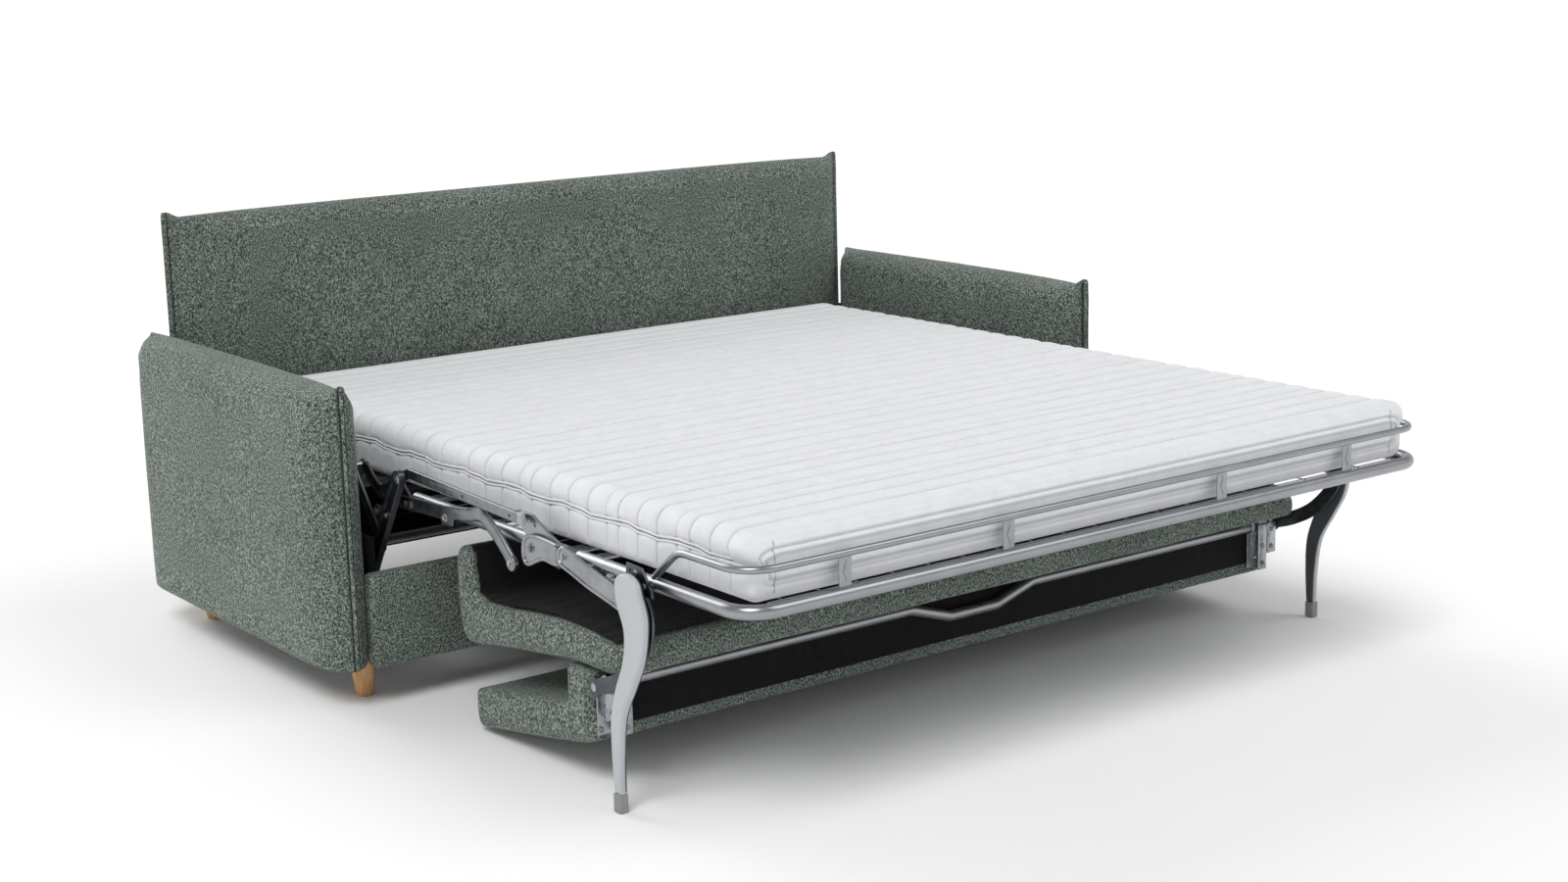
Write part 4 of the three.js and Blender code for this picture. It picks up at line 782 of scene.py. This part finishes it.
# Cushion: its side outline carried across the sofa, drawn in by a quarter circle and then a shallow crown
# at each end
def cushionShape(spec, steps=110):
    half = spec["half"]
    ring = evenRing(smoothLine(placed(spec, spec["shares"]), 7, closed=True), 260)
    y, z = ring.T
    if (y * np.roll(z, -1) - np.roll(y, -1) * z).sum() < 0:
        ring = ring[::-1]
    bend, crown = cushions["round"], cushions["crown"]
    angle = np.linspace(0, np.pi / 2, 9)
    draws = np.concatenate([bend + np.array([9, 5, 2]), bend * (1 - np.sin(angle))])
    places = np.concatenate([crown * np.array([0, 0.2, 0.55]), crown + bend * (1 - np.cos(angle))])
    between = np.linspace(-half + 50, half - 50, steps)
    stations = np.concatenate([-half + places, between, half - places[::-1]])
    insets = np.concatenate([draws, np.zeros(steps), draws[::-1]])
    rings = [insetOutline(softened(ring, round(0.8 * draw)), draw) for draw in insets]
    grid = np.stack([np.column_stack([np.full(len(ring), x), drawn]) for x, drawn in zip(stations, rings)])
    tangent = unit(np.roll(ring, -1, 0) - np.roll(ring, 1, 0))
    outward = np.column_stack([tangent[:, 1], -tangent[:, 0]])
    run = np.cumsum(np.linalg.norm(ring - np.roll(ring, 1, 0), axis=1))
    wave = ripple(grid[:, :, 0], run[None] * 1.6, 300, 7 + len(spec["shares"])) * 1.4 - 1.2
    grid[:, :, 1:] += outward[None] * wave[..., None] * (1 - np.clip(insets / bend, 0, 1))[:, None, None]
    points, faces = gridShape(grid, capped=False)
    count = len(ring)
    for row in (0, len(grid) - 1):
        faces.append(closeRing(grid[row][:, 1:], np.arange(row * count, (row + 1) * count)))
    return points, faces


for name in ("seat", "back"):
    pad = makePiece(f"{name}_pad", cushionShape(cushions[name]), finishes["cover"], name,
                    [f"{name}_cushion"], 50)

# Linings: cloth stretched over the hollow side of the seat, and over the board on the front of the back
# cushion. The tray's line is in shares of the seat cushion.
lining = {"half": 845, "thick": 2.0, "lift": 1.4, "crush": 3.6, "boardLow": (-833, -668, 110),
          "boardHigh": (833, -660.4, 203.8), "trayShares": [
              (0.078, 1.006), (0.098, 0.985), (0.11, 0.86), (0.122, 0.65), (0.142, 0.55), (0.19, 0.525),
              (0.28, 0.54), (0.42, 0.585), (0.55, 0.635), (0.69, 0.655), (0.8, 0.65), (0.9, 0.625),
              (0.95, 0.612)]}
tray = smoothLine(placed(cushions["seat"], lining["trayShares"]), 8)
tangent = unit(np.gradient(tray, axis=0))
outward = np.column_stack([tangent[:, 1], -tangent[:, 0]])
outward *= np.sign(outward[-1, 1])
stations = np.linspace(-lining["half"], lining["half"], 160)
run = np.arange(len(tray))[None] * 14.0
crush = ripple(stations[:, None], run, 190, 21) * lining["crush"]
under = tray[None] + outward[None] * (lining["lift"] + np.abs(crush))[..., None]
over = under + outward[None] * lining["thick"]
loopAround = np.concatenate([under, over[:, ::-1]], 1)
drawn = 1 - 0.008 * (1 + ripple(0 * run, run, 150, 5))  # the cloth's ends are drawn in between their stitches
reach = stations[:, None] * np.concatenate([drawn, drawn[:, ::-1]], 1)
grid = np.concatenate([reach[..., None], loopAround], -1)
trayCloth = makePiece("seat_tray_lining", gridShape(grid), finishes["lining"], "seat",
                      ["seat_lining"], 50)
board = softBox(lining["boardLow"], lining["boardHigh"], 2.4)
makePiece("back_board_lining", board, finishes["lining"], "back", ["back_lining"], 50)
print("cushions made")

# Steelwork: pivots in Y and Z, the tubes of the bed frame, and the lanes in which its plates lie, mm
pivots = {"turn": (67, 373.5), "fold": (11, 442), "head": (187, 442), "rearHead": (627, 442),
          "foot": (-580, 403), "lift": (73.71, 302.12), "rearLift": (513.71, 302.12), "swing": (-683, 195),
          "leg": (-835, 400)}
frameTube = {"x": 827, "level": 403, "radius": 12.5, "front": -1094, "bend": 60, "cross": 8,
             "crossLevel": 397.9, "open": -600, "sleeve": -688}
tubeFace = 839.8  # just outside the frame tubes, where the pins in their plates start
wallFace = 896.1  # just inside the plates on the arms
lanes = {"first": 838, "pitch": 9}
thick = 6  # of a plate


# Inner face of a lane's plates: lanes lie side by side, outwards from the frame tubes
def lane(number):
    return lanes["first"] + lanes["pitch"] * number


# Straight tube across the bed at a place in Y
def crossShape(y, reach=frameTube["x"]):
    level = frameTube["crossLevel"]
    return tubeShape([(-reach, y, level), (reach, y, level)], frameTube["cross"], 20)


# Straight tube along a side of the bed between two places in Y
def sideTube(side, y0, y1):
    x, level = side * frameTube["x"], frameTube["level"]
    return tubeShape([(x, y0, level), (x, y1, level)], frameTube["radius"])


# Strap in a lane: a plate of one width along a smooth route, with a profile and holes
def laneStrap(side, number, route, width, profile=flatProfile, holes=(), **shape):
    x = lane(number)
    return plateShape(side, strapOutline(route, width), profile(x, x + thick, **shape), holes)


# Several shapes as one piece that rides on a body and stands for a node, if one is named
def addSteel(name, shapes, finish, body, node, crease=32):
    return makePiece(name, gather(shapes), finishes[finish], body, [node] if node else [], crease)


# Loop of the foot section, with a thin sleeve on each side tube
x, level, front, tail = (frameTube[key] for key in ("x", "level", "front", "open"))
loop = bentPath([(-x, tail, level), (-x, front, level), (x, front, level), (x, tail, level)],
                frameTube["bend"], 16)
sleeve = [(-3, 12.4), (-2, 13.1), (2, 13.1), (3, 12.4)]
sleeves = [turnedShape(sleeve, (side * x, frameTube["sleeve"], level), "y") for side in (-1, 1)]
addSteel("foot_loop", [tubeShape(loop, frameTube["radius"]), crossShape(-612), *sleeves], "tube", "foot",
         "foot_frame")

# Retainer for the bedding: a bent bar, four flat posts with a pressed bead, and weld beads on the side tubes
retainer = {"radius": 6.5, "level": 472, "weld": -838, "weldLevel": 419, "knee": -905, "bend": 60,
            "posts": (-630, -274, 254, 603), "post": (414, 470), "bead": (422, 427, 457, 462)}
high, knee, weld, weldLevel = (retainer[key] for key in ("level", "knee", "weld", "weldLevel"))
bar = bentPath([(-x, weld, weldLevel), (-x, knee, high), (-x, front, high), (x, front, high), (x, knee, high),
                (x, weld, weldLevel)], retainer["bend"], 10)
shapes = [tubeShape(bar, retainer["radius"], 20)]
postLow, postHigh = retainer["post"]
beadLow, *_, beadHigh = retainer["bead"]
rise = np.linspace(beadLow, beadHigh, 15)
beadRadius = np.interp(rise, retainer["bead"], [0.6, 2.6, 2.6, 0.6])
for post in retainer["posts"]:
    shapes.append(softBox((post - 13, front - 1.5, postLow), (post + 13, front + 1.5, postHigh), 1.2))
    wave = 2.5 * np.sin((rise - beadLow) / (beadHigh - beadLow) * 3 * np.pi)
    bead = np.stack([post + wave, np.full(15, front - 1.2), rise], -1)
    shapes.append(tubeShape(bead, beadRadius, 12, (0, 1, 0)))
angle = np.linspace(0, np.pi, 9)
profile = np.stack([-9 * np.cos(angle), 0.02 + 7.5 * np.sin(angle)], -1)
shapes += [turnedShape(profile, (side * x, weld + 2, 415), "y", 20) for side in (-1, 1)]
addSteel("retainer_loop", shapes, "tube", "foot", "retainer_bar")

# Tube on which the back cushion turns: it dips between two bends each side of the middle
swing = {"radius": 11, "half": 862, "bends": (155, 60), "dip": 165, "bend": 40}
(y, z), (outer, inner) = pivots["swing"], swing["bends"]
route = bentPath([(-swing["half"], y, z), (-outer, y, z), (-inner, y, swing["dip"]), (inner, y, swing["dip"]),
                  (outer, y, z), (swing["half"], y, z)], swing["bend"], 8)
addSteel("swing_tube", [tubeShape(route, swing["radius"])], "tube", "back", "cross_tube")

# Head section: side tubes, cross tubes, and lugs up to the pivots of the lift links
shapes = [crossShape(217), crossShape(748)]
for side in (-1, 1):
    shapes.append(sideTube(side, 205, 760))
    for pivot, foot in (("head", 219), ("rearHead", 627)):
        shapes.append(laneStrap(side, 0, [pivots[pivot], (foot, level)], 26))
        shapes.append(pinShape(side, pivots[pivot], lane(0), lane(3) + 7, 6))
        shapes.append(pinShape(side, pivots[pivot], lane(0) + 5, lane(3) - 3, 8))
addSteel("head_tubes", shapes, "tube", "head", "head_frame")

# Short links over the fold and the bar between them
shapes = [crossShape(99, reach=852)]
for side in (-1, 1):
    shapes.append(laneStrap(side, 1, [pivots["fold"], (99, 405), (160, 442)], 26, pressedProfile, depth=2,
                            holes=[(pivots["fold"], 6.6)]))
addSteel("fold_links", shapes, "plate", "fold", "fold_frame")

# Middle section: tubes and pierced gussets beside the foot pivots
gusset = [(-430, 458), (-470, 457), (-520, 434), (-566, 419), (-594, 412), (-594, 393), (-470, 391),
          (-430, 430)]
shapes = [crossShape(-19), crossShape(-545)]
for side in (-1, 1):
    shapes.append(sideTube(side, -560, -4))
    shapes.append(plateShape(side, gusset, flatProfile(lane(0), lane(0) + thick),
                             [((-455, 446), 5), ((-478, 440), 3.5), ((-540, 404), 5)]))
    shapes.append(pinShape(side, pivots["foot"], lane(0), lane(1) + 7.5, 6))
    shapes.append(pinShape(side, pivots["foot"], lane(0) + 5, lane(0) + 7.5, 10))
    shapes.append(pinShape(side, (-426, 450), lane(0) + 5, 852.7, 10))
addSteel("middle_tubes", shapes, "tube", "middle", "middle_frame")

# Welded wire nets: wires across and along each section of the bed, narrower in the foot section's loop
nets = {"half": 812, "level": 407.5, "radius": 1.2, "across": 52, "along": 78, "lengthsHalf": 780,
        "sections": {"head": (205, 760, 0), "middle": (-560, -4, 0), "foot": (-1078, -600, 46)}}
level, radius = nets["level"], nets["radius"]
for name, (start, end, edge) in nets["sections"].items():
    half, far = nets["half"] - edge, nets["lengthsHalf"] - edge
    across, lengths = np.arange(start + 14, end - 10, nets["across"]), np.arange(-far, far + 1, nets["along"])
    wires = [tubeShape([(-half, y, level), (half, y, level)], radius, 6) for y in across]
    wires += [tubeShape([(place, start + 8, level), (place, end - 8, level)], radius, 6) for place in lengths]
    addSteel(f"{name}_wires", wires, "net", name, f"{name}_net")

# Plates and links of the two sides, from the sofa body to the front. Routes and outlines are in Y and Z.
bodyPlate = {"x": (896.4, 900.4), "holes": (180, 330, 480), "outline": [
    (48, 92), (689.7, 92), (689.7, 268), (629.7, 328), (165, 328), (138, 238), (48, 232)]}
upright = {"foot": (116, 224), "head": (-36, 457), "width": 31, "neck": (35.7, 353.4), "fixing": (118, 216)}
sideBar = {"start": (-39, 463), "end": (-446, 450), "height": 20, "x": (853, 862), "cap": 16}
bend = [(-194, 414), (-262, 423), (-311, 430), (-366, 402), (-418, 362)]
longLink = [(-580, 403), (-618, 394), (-660, 383), (-725, 371), (-778, 360)]
linkHead = [(-566, 422), (-530, 425), (-491, 426), (-462, 422), (-445, 409), (-440, 386), (-446, 367),
            (-462, 364), (-486, 374), (-512, 383), (-540, 382), (-571, 381)]
tongue = [(11, 435), (-38.7, 453), (-38.7, 473), (11, 456)]
clamp = [(-165, 424), (-209, 427), (-215, 412), (-209, 391), (-165, 388)]
swan = [(-835, 398), (-858, 356), (-846, 300), (-797, 246), (-740, 214), (-683, 195)]
legBracket = [(-792, 390), (-874, 392), (-873, 405), (-845, 438), (-800, 440)]


# Four corners of a bar's stretch along a sloped line, as far above as below it
def barOutline(y0, y1, half):
    (startY, startZ), (endY, endZ) = sideBar["start"], sideBar["end"]
    beyond = 40  # as far as the slope is carried past the bar's end
    z0, z1 = np.interp([y0, y1], [endY - beyond, endY, startY],
                       [endZ - beyond * (startZ - endZ) / (startY - endY), endZ, startZ])
    return [(y0, z0 - half), (y0, z0 + half), (y1, z1 + half), (y1, z1 - half)]


for name, side in sides.items():
    shapes = [plateShape(side, bodyPlate["outline"], pressedProfile(*bodyPlate["x"], 9, 1.6),
                         [((y, 120), 9) for y in bodyPlate["holes"]]),
              pinShape(side, pivots["rearLift"], lane(4), 897, 14)]
    addSteel(f"body_plate_{name}", shapes, "plate", "base", f"side_plate_{name}")

    x0 = lane(4)
    shapes = [plateShape(side, strapOutline([upright["foot"], upright["head"]], upright["width"]),
                         pressedProfile(x0, x0 + 13, 2.2, 5)),
              plateShape(side, strapOutline([pivots["turn"], upright["neck"]], 28),
                         flatProfile(x0 + 0.3, x0 + 5.5)),
              plateShape(side, arcPoints(pivots["lift"], 14, 24), flatProfile(x0, x0 + thick)),
              pinShape(side, upright["fixing"], x0 + 5, wallFace, 11)]
    addSteel(f"upright_channel_{name}", shapes, "plate", "base", f"upright_{name}")
    studs = [boltShapes(side, x0 + 5.5, [pivots["turn"]], 10),
             boltShapes(side, x0 + 7.9, [(18, 375), (88, 268)], 7),
             headShape((side * (x0 + 7.5), *upright["head"]), "x", 12.5, side * 7),
             headShape((side * (x0 + 14.4), *upright["head"]), "x", 5, side * 1.5)]
    addSteel(f"upright_bolts_{name}", studs, "stamped", "base", None)

    for end, low, high, body in (("front", "lift", "head", "lift"),
                                 ("rear", "rearLift", "rearHead", "lift_rear")):
        shapes = [laneStrap(side, 3, [pivots[low], pivots[high]], 26, pressedProfile, depth=2),
                  pinShape(side, pivots[low], lane(3) - 2, lane(4) + 6, 6),
                  headShape((side * lane(3), *pivots[low]), "x", 9, side * -2.5)]
        addSteel(f"lift_arm_{end}_{name}", shapes, "plate", body, f"lift_link_{end}_{name}")

    shapes = [laneStrap(side, 2, [pivots["turn"], pivots["fold"]], 28, pressedProfile, depth=2),
              laneStrap(side, 2, [pivots["fold"], (-40, 403)], 27, pressedProfile, depth=2),
              plateShape(side, tongue, flatProfile(lane(2) + 0.4, lane(2) + 5.6)),
              pinShape(side, pivots["turn"], lane(2) + 5, lane(4) + 7, 6),
              pinShape(side, pivots["turn"], lane(2) + 5, lane(4) - 1, 10),
              pinShape(side, pivots["fold"], lane(1) - 1, lane(2) + 1, 6),
              pinShape(side, (-40, 403), tubeFace, lane(2) + 1, 10)]
    addSteel(f"hinge_straps_{name}", shapes, "plate", "middle", f"hinge_plate_{name}")
    studs = [headShape((side * (lane(2) + 5), *place), "x", 9, side * 2.6)
             for place in (pivots["fold"], (-40, 403))]
    addSteel(f"hinge_rivets_{name}", studs, "stamped", "middle", None)

    rail = barOutline(sideBar["start"][0], sideBar["end"][0], sideBar["height"] / 2)
    slope = list(zip(sideBar["end"], sideBar["start"]))  # its two places in Y, then in Z
    holes = [((y, float(np.interp(y, *slope))), 3) for y in (-70, -250, -420)]
    shapes = [plateShape(side, rail, roundProfile(*sideBar["x"], 2.6), holes)]
    addSteel(f"side_rail_{name}", shapes, "stamped", "middle", f"side_bar_{name}")
    capEnd = sideBar["end"][0] - 0.3
    cap = barOutline(capEnd, capEnd - sideBar["cap"], sideBar["height"] / 2 + 0.8)
    shapes = [plateShape(side, cap, roundProfile(sideBar["x"][0] - 1, sideBar["x"][1] + 1, 3.2))]
    addSteel(f"rail_cap_{name}", shapes, "cap", "middle", f"bar_cap_{name}")

    x0 = lane(2)
    shapes = [plateShape(side, strapOutline([(-3, 403.5), (-168, 411)], 26),
                         pressedProfile(x0, x0 + 7, 2.4, 3.2)),
              plateShape(side, clamp, roundProfile(x0 - 1, x0 + 7.5, 1.8)),
              pinShape(side, (-124, 403), tubeFace, x0 + 1, 8)]
    addSteel(f"brace_channel_{name}", shapes, "plate", "middle", f"brace_{name}")
    shapes = [plateShape(side, strapOutline(bend, 27, 10), roundProfile(x0 - 4, x0 + 7, 6)),
              plateShape(side, arcPoints(bend[-1], 14.5, 32), roundProfile(x0 - 2, x0 + 8, 2))]
    addSteel(f"bent_link_{name}", shapes, "stamped", "middle", None)
    studs = [boltShapes(side, x0 + 7, [(-181, 403)], 8.5), boltShapes(side, x0 + 7.5, [bend[-1]], 7.5),
             headShape((side * (x0 + 3.5), -18, 402), "x", 7, side * 3)]
    addSteel(f"brace_bolts_{name}", studs, "zinc", "middle", None)

    x0 = lane(1)
    channel = pressedProfile(x0 - 2, x0 + 6, 4.5, 3, 1.5)
    shapes = [plateShape(side, strapOutline(longLink, 40, 10), channel)]
    shapes += [pinShape(side, place, tubeFace, x0, 8) for place in ((-650, 396), (-720, 393))]
    addSteel(f"link_channel_{name}", shapes, "bright", "foot", f"long_link_{name}")
    addSteel(f"link_bolts_{name}", [boltShapes(side, x0 + 2.8, [pivots["foot"]], 8)], "zinc", "foot", None)
    # its head stays with the middle section: the outline ends in a hollow round the foot pivot
    ring = np.concatenate([smoothLine(linkHead, 5), arcPoints(pivots["foot"], 22.5, 13, -1.2, 2.2)])
    addSteel(f"link_head_{name}", [plateShape(side, ring, channel)], "bright", "middle", None)
    studs = [boltShapes(side, x0 + 2.8, [(-470, 399)], 9.5)]
    addSteel(f"link_head_bolt_{name}", studs, "stamped", "middle", None)

    x0 = lane(2)
    shapes = [plateShape(side, strapOutline(swan, 29, 10), roundProfile(x0, x0 + thick, 1.6)),
              plateShape(side, legBracket, roundProfile(x0 + 0.4, x0 + 5.4, 1.2),
                         [((-868, 417), 4), ((-812, 428), 4)]),
              plateShape(side, arcPoints(pivots["swing"], 19, 36), roundProfile(x0 - 0.4, x0 + 6.4, 1.6)),
              pinShape(side, pivots["leg"], tubeFace, x0 + 1, 10),
              pinShape(side, pivots["leg"], x0 + 5, 878, 6)]
    addSteel(f"swan_plate_{name}", shapes, "plate", "foot", f"swan_arm_{name}")
    studs = [headShape((side * (x0 + out), *place), "x", radius, side * rise)
             for place, out, radius, rise in ((pivots["swing"], 5.6, 8, 3), ((-800, 246), 5.6, 8, 3),
                                              ((-852, 409), 5, 5, 2.5), ((-829, 428), 5, 5, 2.5))]
    addSteel(f"swan_bolts_{name}", studs, "zinc", "foot", None)

# Tubes across the base: half length, Y and Z
baseTubes = {"radius": 12, "front": (wallFace, 75, 100), "rear": (bodyPlate["x"][1], 812, 108)}
for end in ("front", "rear"):
    half, y, z = baseTubes[end]
    addSteel(f"base_tube_{end}_pipe", [tubeShape([(-half, y, z), (half, y, z)], baseTubes["radius"])], "tube",
             "base", f"base_tube_{end}")
print("steelwork made")

# Legs: a smooth pale shell outside, a darker ribbed body inside, and a rubber tip
leg = {"x": (869, 885), "part": 872.5, "wall": 2.4, "ribs": 15, "rib": 1.8, "tip": ((-790, 0), (-768, 34)),
       "rear": [(-770, 34.3), (-766, 102), (-768, 168), (-784, 219), (-811, 276), (-818, 328), (-800, 372),
                (-796, 412), (-822, 428)],
       "front": [(-852, 420), (-865, 395), (-878, 354), (-866, 287), (-837, 234), (-803, 175), (-791, 106),
                 (-788, 34.3)]}
(inner, outer), part, wall, count = leg["x"], leg["part"], leg["wall"], leg["ribs"]
outline = smoothLine(leg["rear"] + leg["front"], 8)
shell = [(0.6, part), (0, part + 0.6), *roundProfile(part, outer, 4.5)[5:]]
tray = [(1.5, part - 0.3), (1, part - 0.9), (1, inner + 1), (1.8, inner), (wall, inner),
        (wall + 0.4, inner + 0.8), (wall + 0.7, part - 4)]
# ribs run straight across between both edges, and as a zigzag from one to the next
edges = [line[np.linspace(1, len(line) - 2, count).astype(int)]
         for line in (smoothLine(leg["rear"], 2), smoothLine(leg["front"][::-1], 2))]
edges = [here + unit(there - here) * 3 for here, there in (edges, edges[::-1])]
ribs = [pair for k in range(count - 1) for pair in (
    (edges[k % 2][k], edges[1 - k % 2][k + 1]), (edges[0][k], edges[1][k]))]
for name, side in sides.items():
    body = f"leg_{name}"
    addSteel(f"leg_shell_{name}", [plateShape(side, outline, shell)], "leg", body, body, 45)
    shapes = [plateShape(side, outline, tray)]
    shapes += [plateShape(side, strapOutline(pair, leg["rib"], 2), flatProfile(inner + 2, part - 3, 0.3))
               for pair in ribs]
    addSteel(f"leg_ribs_{name}", shapes, "ribbed", body, None)
    low, high = sorted((side * (inner - 1), side * (outer + 1)))
    shoe = softBox((low, *leg["tip"][0]), (high, *leg["tip"][1]), 3)
    addSteel(f"leg_shoe_{name}", [shoe], "tip", body, f"leg_tip_{name}", 40)
print("legs made")

# Hinge brackets of the two cushions: plates with an eye on the tube, flanges with bolts towards the front.
# The back's have two plates each, given by their inner face and lower edge.
bracket = {"bore": 11.6, "flange": (-700, -697), "base": (-671.3, -668.4), "top": 200,
           "plates": ((834, 134), (806, 101)),
           "baseX": (793, 850), "baseZ": (101, 181), "seatX": (770, 796), "seatPlate": (780, 786)}
(front, rear), (y, z) = bracket["flange"], pivots["swing"]
for name, side in sides.items():
    shapes, studs = [], []
    for x0, low in bracket["plates"]:
        eye = [(bracket["base"][1], low), *arcPoints((y, z), 16, 13, -0.35, math.pi + 0.35), (rear, low)]
        shapes.append(plateShape(side, eye, flatProfile(x0, x0 + thick),
                                 [((y, z), bracket["bore"]), ((-682, low + 22), 4)]))
        middle = side * (x0 + thick / 2)
        shapes.append(softBox((middle - 13, front, low), (middle + 13, rear, bracket["top"]), 1.2))
        studs += [headShape((middle, front, low + rise), "y", 5.5, -3, facets)
                  for rise, facets in ((14, 6), (52, 24))]
        studs.append(headShape((side * (x0 + 5.6), y, z), "x", 9, side * 2))
    low, high = sorted(side * x for x in bracket["baseX"])
    (baseFront, baseRear), (baseLow, baseHigh) = bracket["base"], bracket["baseZ"]
    shapes.append(softBox((low, baseFront, baseLow), (high, baseRear, baseHigh), 1.2))
    studs += [headShape((side * reach, -671, 112), "y", 5.5, -3) for reach in (822, 845)]
    addSteel(f"back_hinge_{name}", shapes, "zinc", "back", f"back_bracket_{name}")
    addSteel(f"back_hinge_bolts_{name}", studs, "stamped", "back", None)
    low, high = sorted(side * x for x in bracket["seatX"])
    eye = [(-669.5, 213.5), *arcPoints((y, z), 14, 13, -0.2, -math.pi + 0.4), (-696.5, 213.5)]
    shapes = [plateShape(side, eye, flatProfile(*bracket["seatPlate"]), [((y, z), bracket["bore"])]),
              softBox((low, -723, 213.2), (high, -669, 215.6), 0.8)]
    addSteel(f"seat_hinge_{name}", shapes, "zinc", "seat", f"seat_bracket_{name}")
print("brackets made")

# Boards inside the sofa body, covered in black lining: lowest and highest corners
boards = {"back_board": ((-900.4, 862, 85), (900.4, 870.7, 500)),
          "rear_rail": ((-896.1, 831.7, 85), (896.1, 861.7, 150)),
          "side_board_left": ((-908.7, 40.3, 85), (-900.7, 870.7, 330)),
          "side_board_right": ((900.7, 40.3, 85), (908.7, 870.7, 330))}
for node, (low, high) in boards.items():
    cover = softBox(low, high, 2.5)
    makePiece(f"{node}_cover", cover, finishes["lining"], "base", [node], 40)
print("boards made")

# Studio: the camera sees a white backdrop, and all else is lit by a dome that darkens overhead. Three broad
# lamps stand for softboxes: the direction to each, its spread in degrees and its strength.
studio = {"floor": ("#f9f9f9", "#fdfdfd"), "overhead": 0.34, "floorHalf": 90,  # metres to each edge
          "lamps": (((-0.6, -0.4, 1.0), 30, 1.45), ((-0.1, 1.0, 0.55), 40, 1.1),
                    ((0.5, -0.45, 0.8), 34, 0.6))}
world = bpy.data.worlds.new("studio")
bpy.context.scene.world = world
world.use_nodes = True
tree = world.node_tree
tree.nodes.clear()
direction = addNode(tree, "ShaderNodeTexCoord").outputs["Generated"]
upward = addNode(tree, "ShaderNodeSeparateXYZ", {0: direction}).outputs["Z"]
dome = addNode(tree, "ShaderNodeMapRange", {"Value": upward, "From Min": 0.02, "From Max": 0.55,
                                            "To Min": 1.0, "To Max": studio["overhead"]})
sky = addNode(tree, "ShaderNodeBackground", {"Color": dome.outputs["Result"], "Strength": 1.0})
backdrop = addNode(tree, "ShaderNodeBackground", {"Color": (1, 1, 1, 1), "Strength": 1.0})
seen = addNode(tree, "ShaderNodeLightPath").outputs["Is Camera Ray"]
both = addNode(tree, "ShaderNodeMixShader",
               {0: seen, 1: sky.outputs["Background"], 2: backdrop.outputs["Background"]})
addNode(tree, "ShaderNodeOutputWorld", {"Surface": both.outputs["Shader"]})

# Matt white backdrop paper, with a hardly visible unevenness
paper, tree, shader, place = newFinish("pale_floor", Roughness=0.9, Specular_IOR_Level=0.1)
dark, light = studio["floor"]
tree.links.new(addRamp(tree, addGrain(tree, place, 900, 2.0), [(0.2, dark), (0.8, light)]),
               shader.inputs["Base Color"])
reach = studio["floorHalf"]
mesh = bpy.data.meshes.new("floor")
mesh.from_pydata([(-reach, -reach, 0), (reach, -reach, 0), (reach, reach, 0), (-reach, reach, 0)], [],
                 [(0, 1, 2, 3)])
mesh.materials.append(paper)
floor = bpy.data.objects.new("floor", mesh)
bpy.context.scene.collection.objects.link(floor)
for number, (toward, spread, power) in enumerate(studio["lamps"]):
    light = bpy.data.lights.new(f"softbox_{number}", "SUN")
    light.energy, light.angle = power, math.radians(spread)
    lamp = bpy.data.objects.new(f"softbox_{number}", light)
    bpy.context.scene.collection.objects.link(lamp)
    lamp.location = Vector(toward) * 4
    lamp.rotation_mode = "QUATERNION"
    lamp.rotation_quaternion = (-Vector(toward)).to_track_quat("-Z", "Y")

# Camera, as fitted to the photo's straight edges: its place in millimetres, its turns in degrees, its lens
view = {"eye": (-2892.8, -3930.65, 1446.0), "yaw": -37.36, "pitch": -11.27, "roll": -1.33, "lens": 54.0,
        "film": 36, "shift": (-0.0235, -0.0209)}
yaw, pitch, roll = (math.radians(view[key]) for key in ("yaw", "pitch", "roll"))
forward = Vector((-math.sin(yaw) * math.cos(pitch), math.cos(yaw) * math.cos(pitch), math.sin(pitch)))
right = Vector((math.cos(yaw), math.sin(yaw), 0))
above = right.cross(forward)
tilted = right * math.cos(roll) + above * math.sin(roll)
rising = -right * math.sin(roll) + above * math.cos(roll)
camera = bpy.data.objects.new("camera", bpy.data.cameras.new("camera"))
bpy.context.scene.collection.objects.link(camera)
rows = [(across, rise, -ahead, eye / 1000)
        for across, rise, ahead, eye in zip(tilted, rising, forward, view["eye"])]
camera.matrix_world = Matrix((*rows, (0, 0, 0, 1)))
camera.data.lens, camera.data.sensor_width = view["lens"], view["film"]
camera.data.shift_x, camera.data.shift_y = view["shift"]
bpy.context.scene.camera = camera
bpy.context.scene.view_settings.view_transform = "Standard"
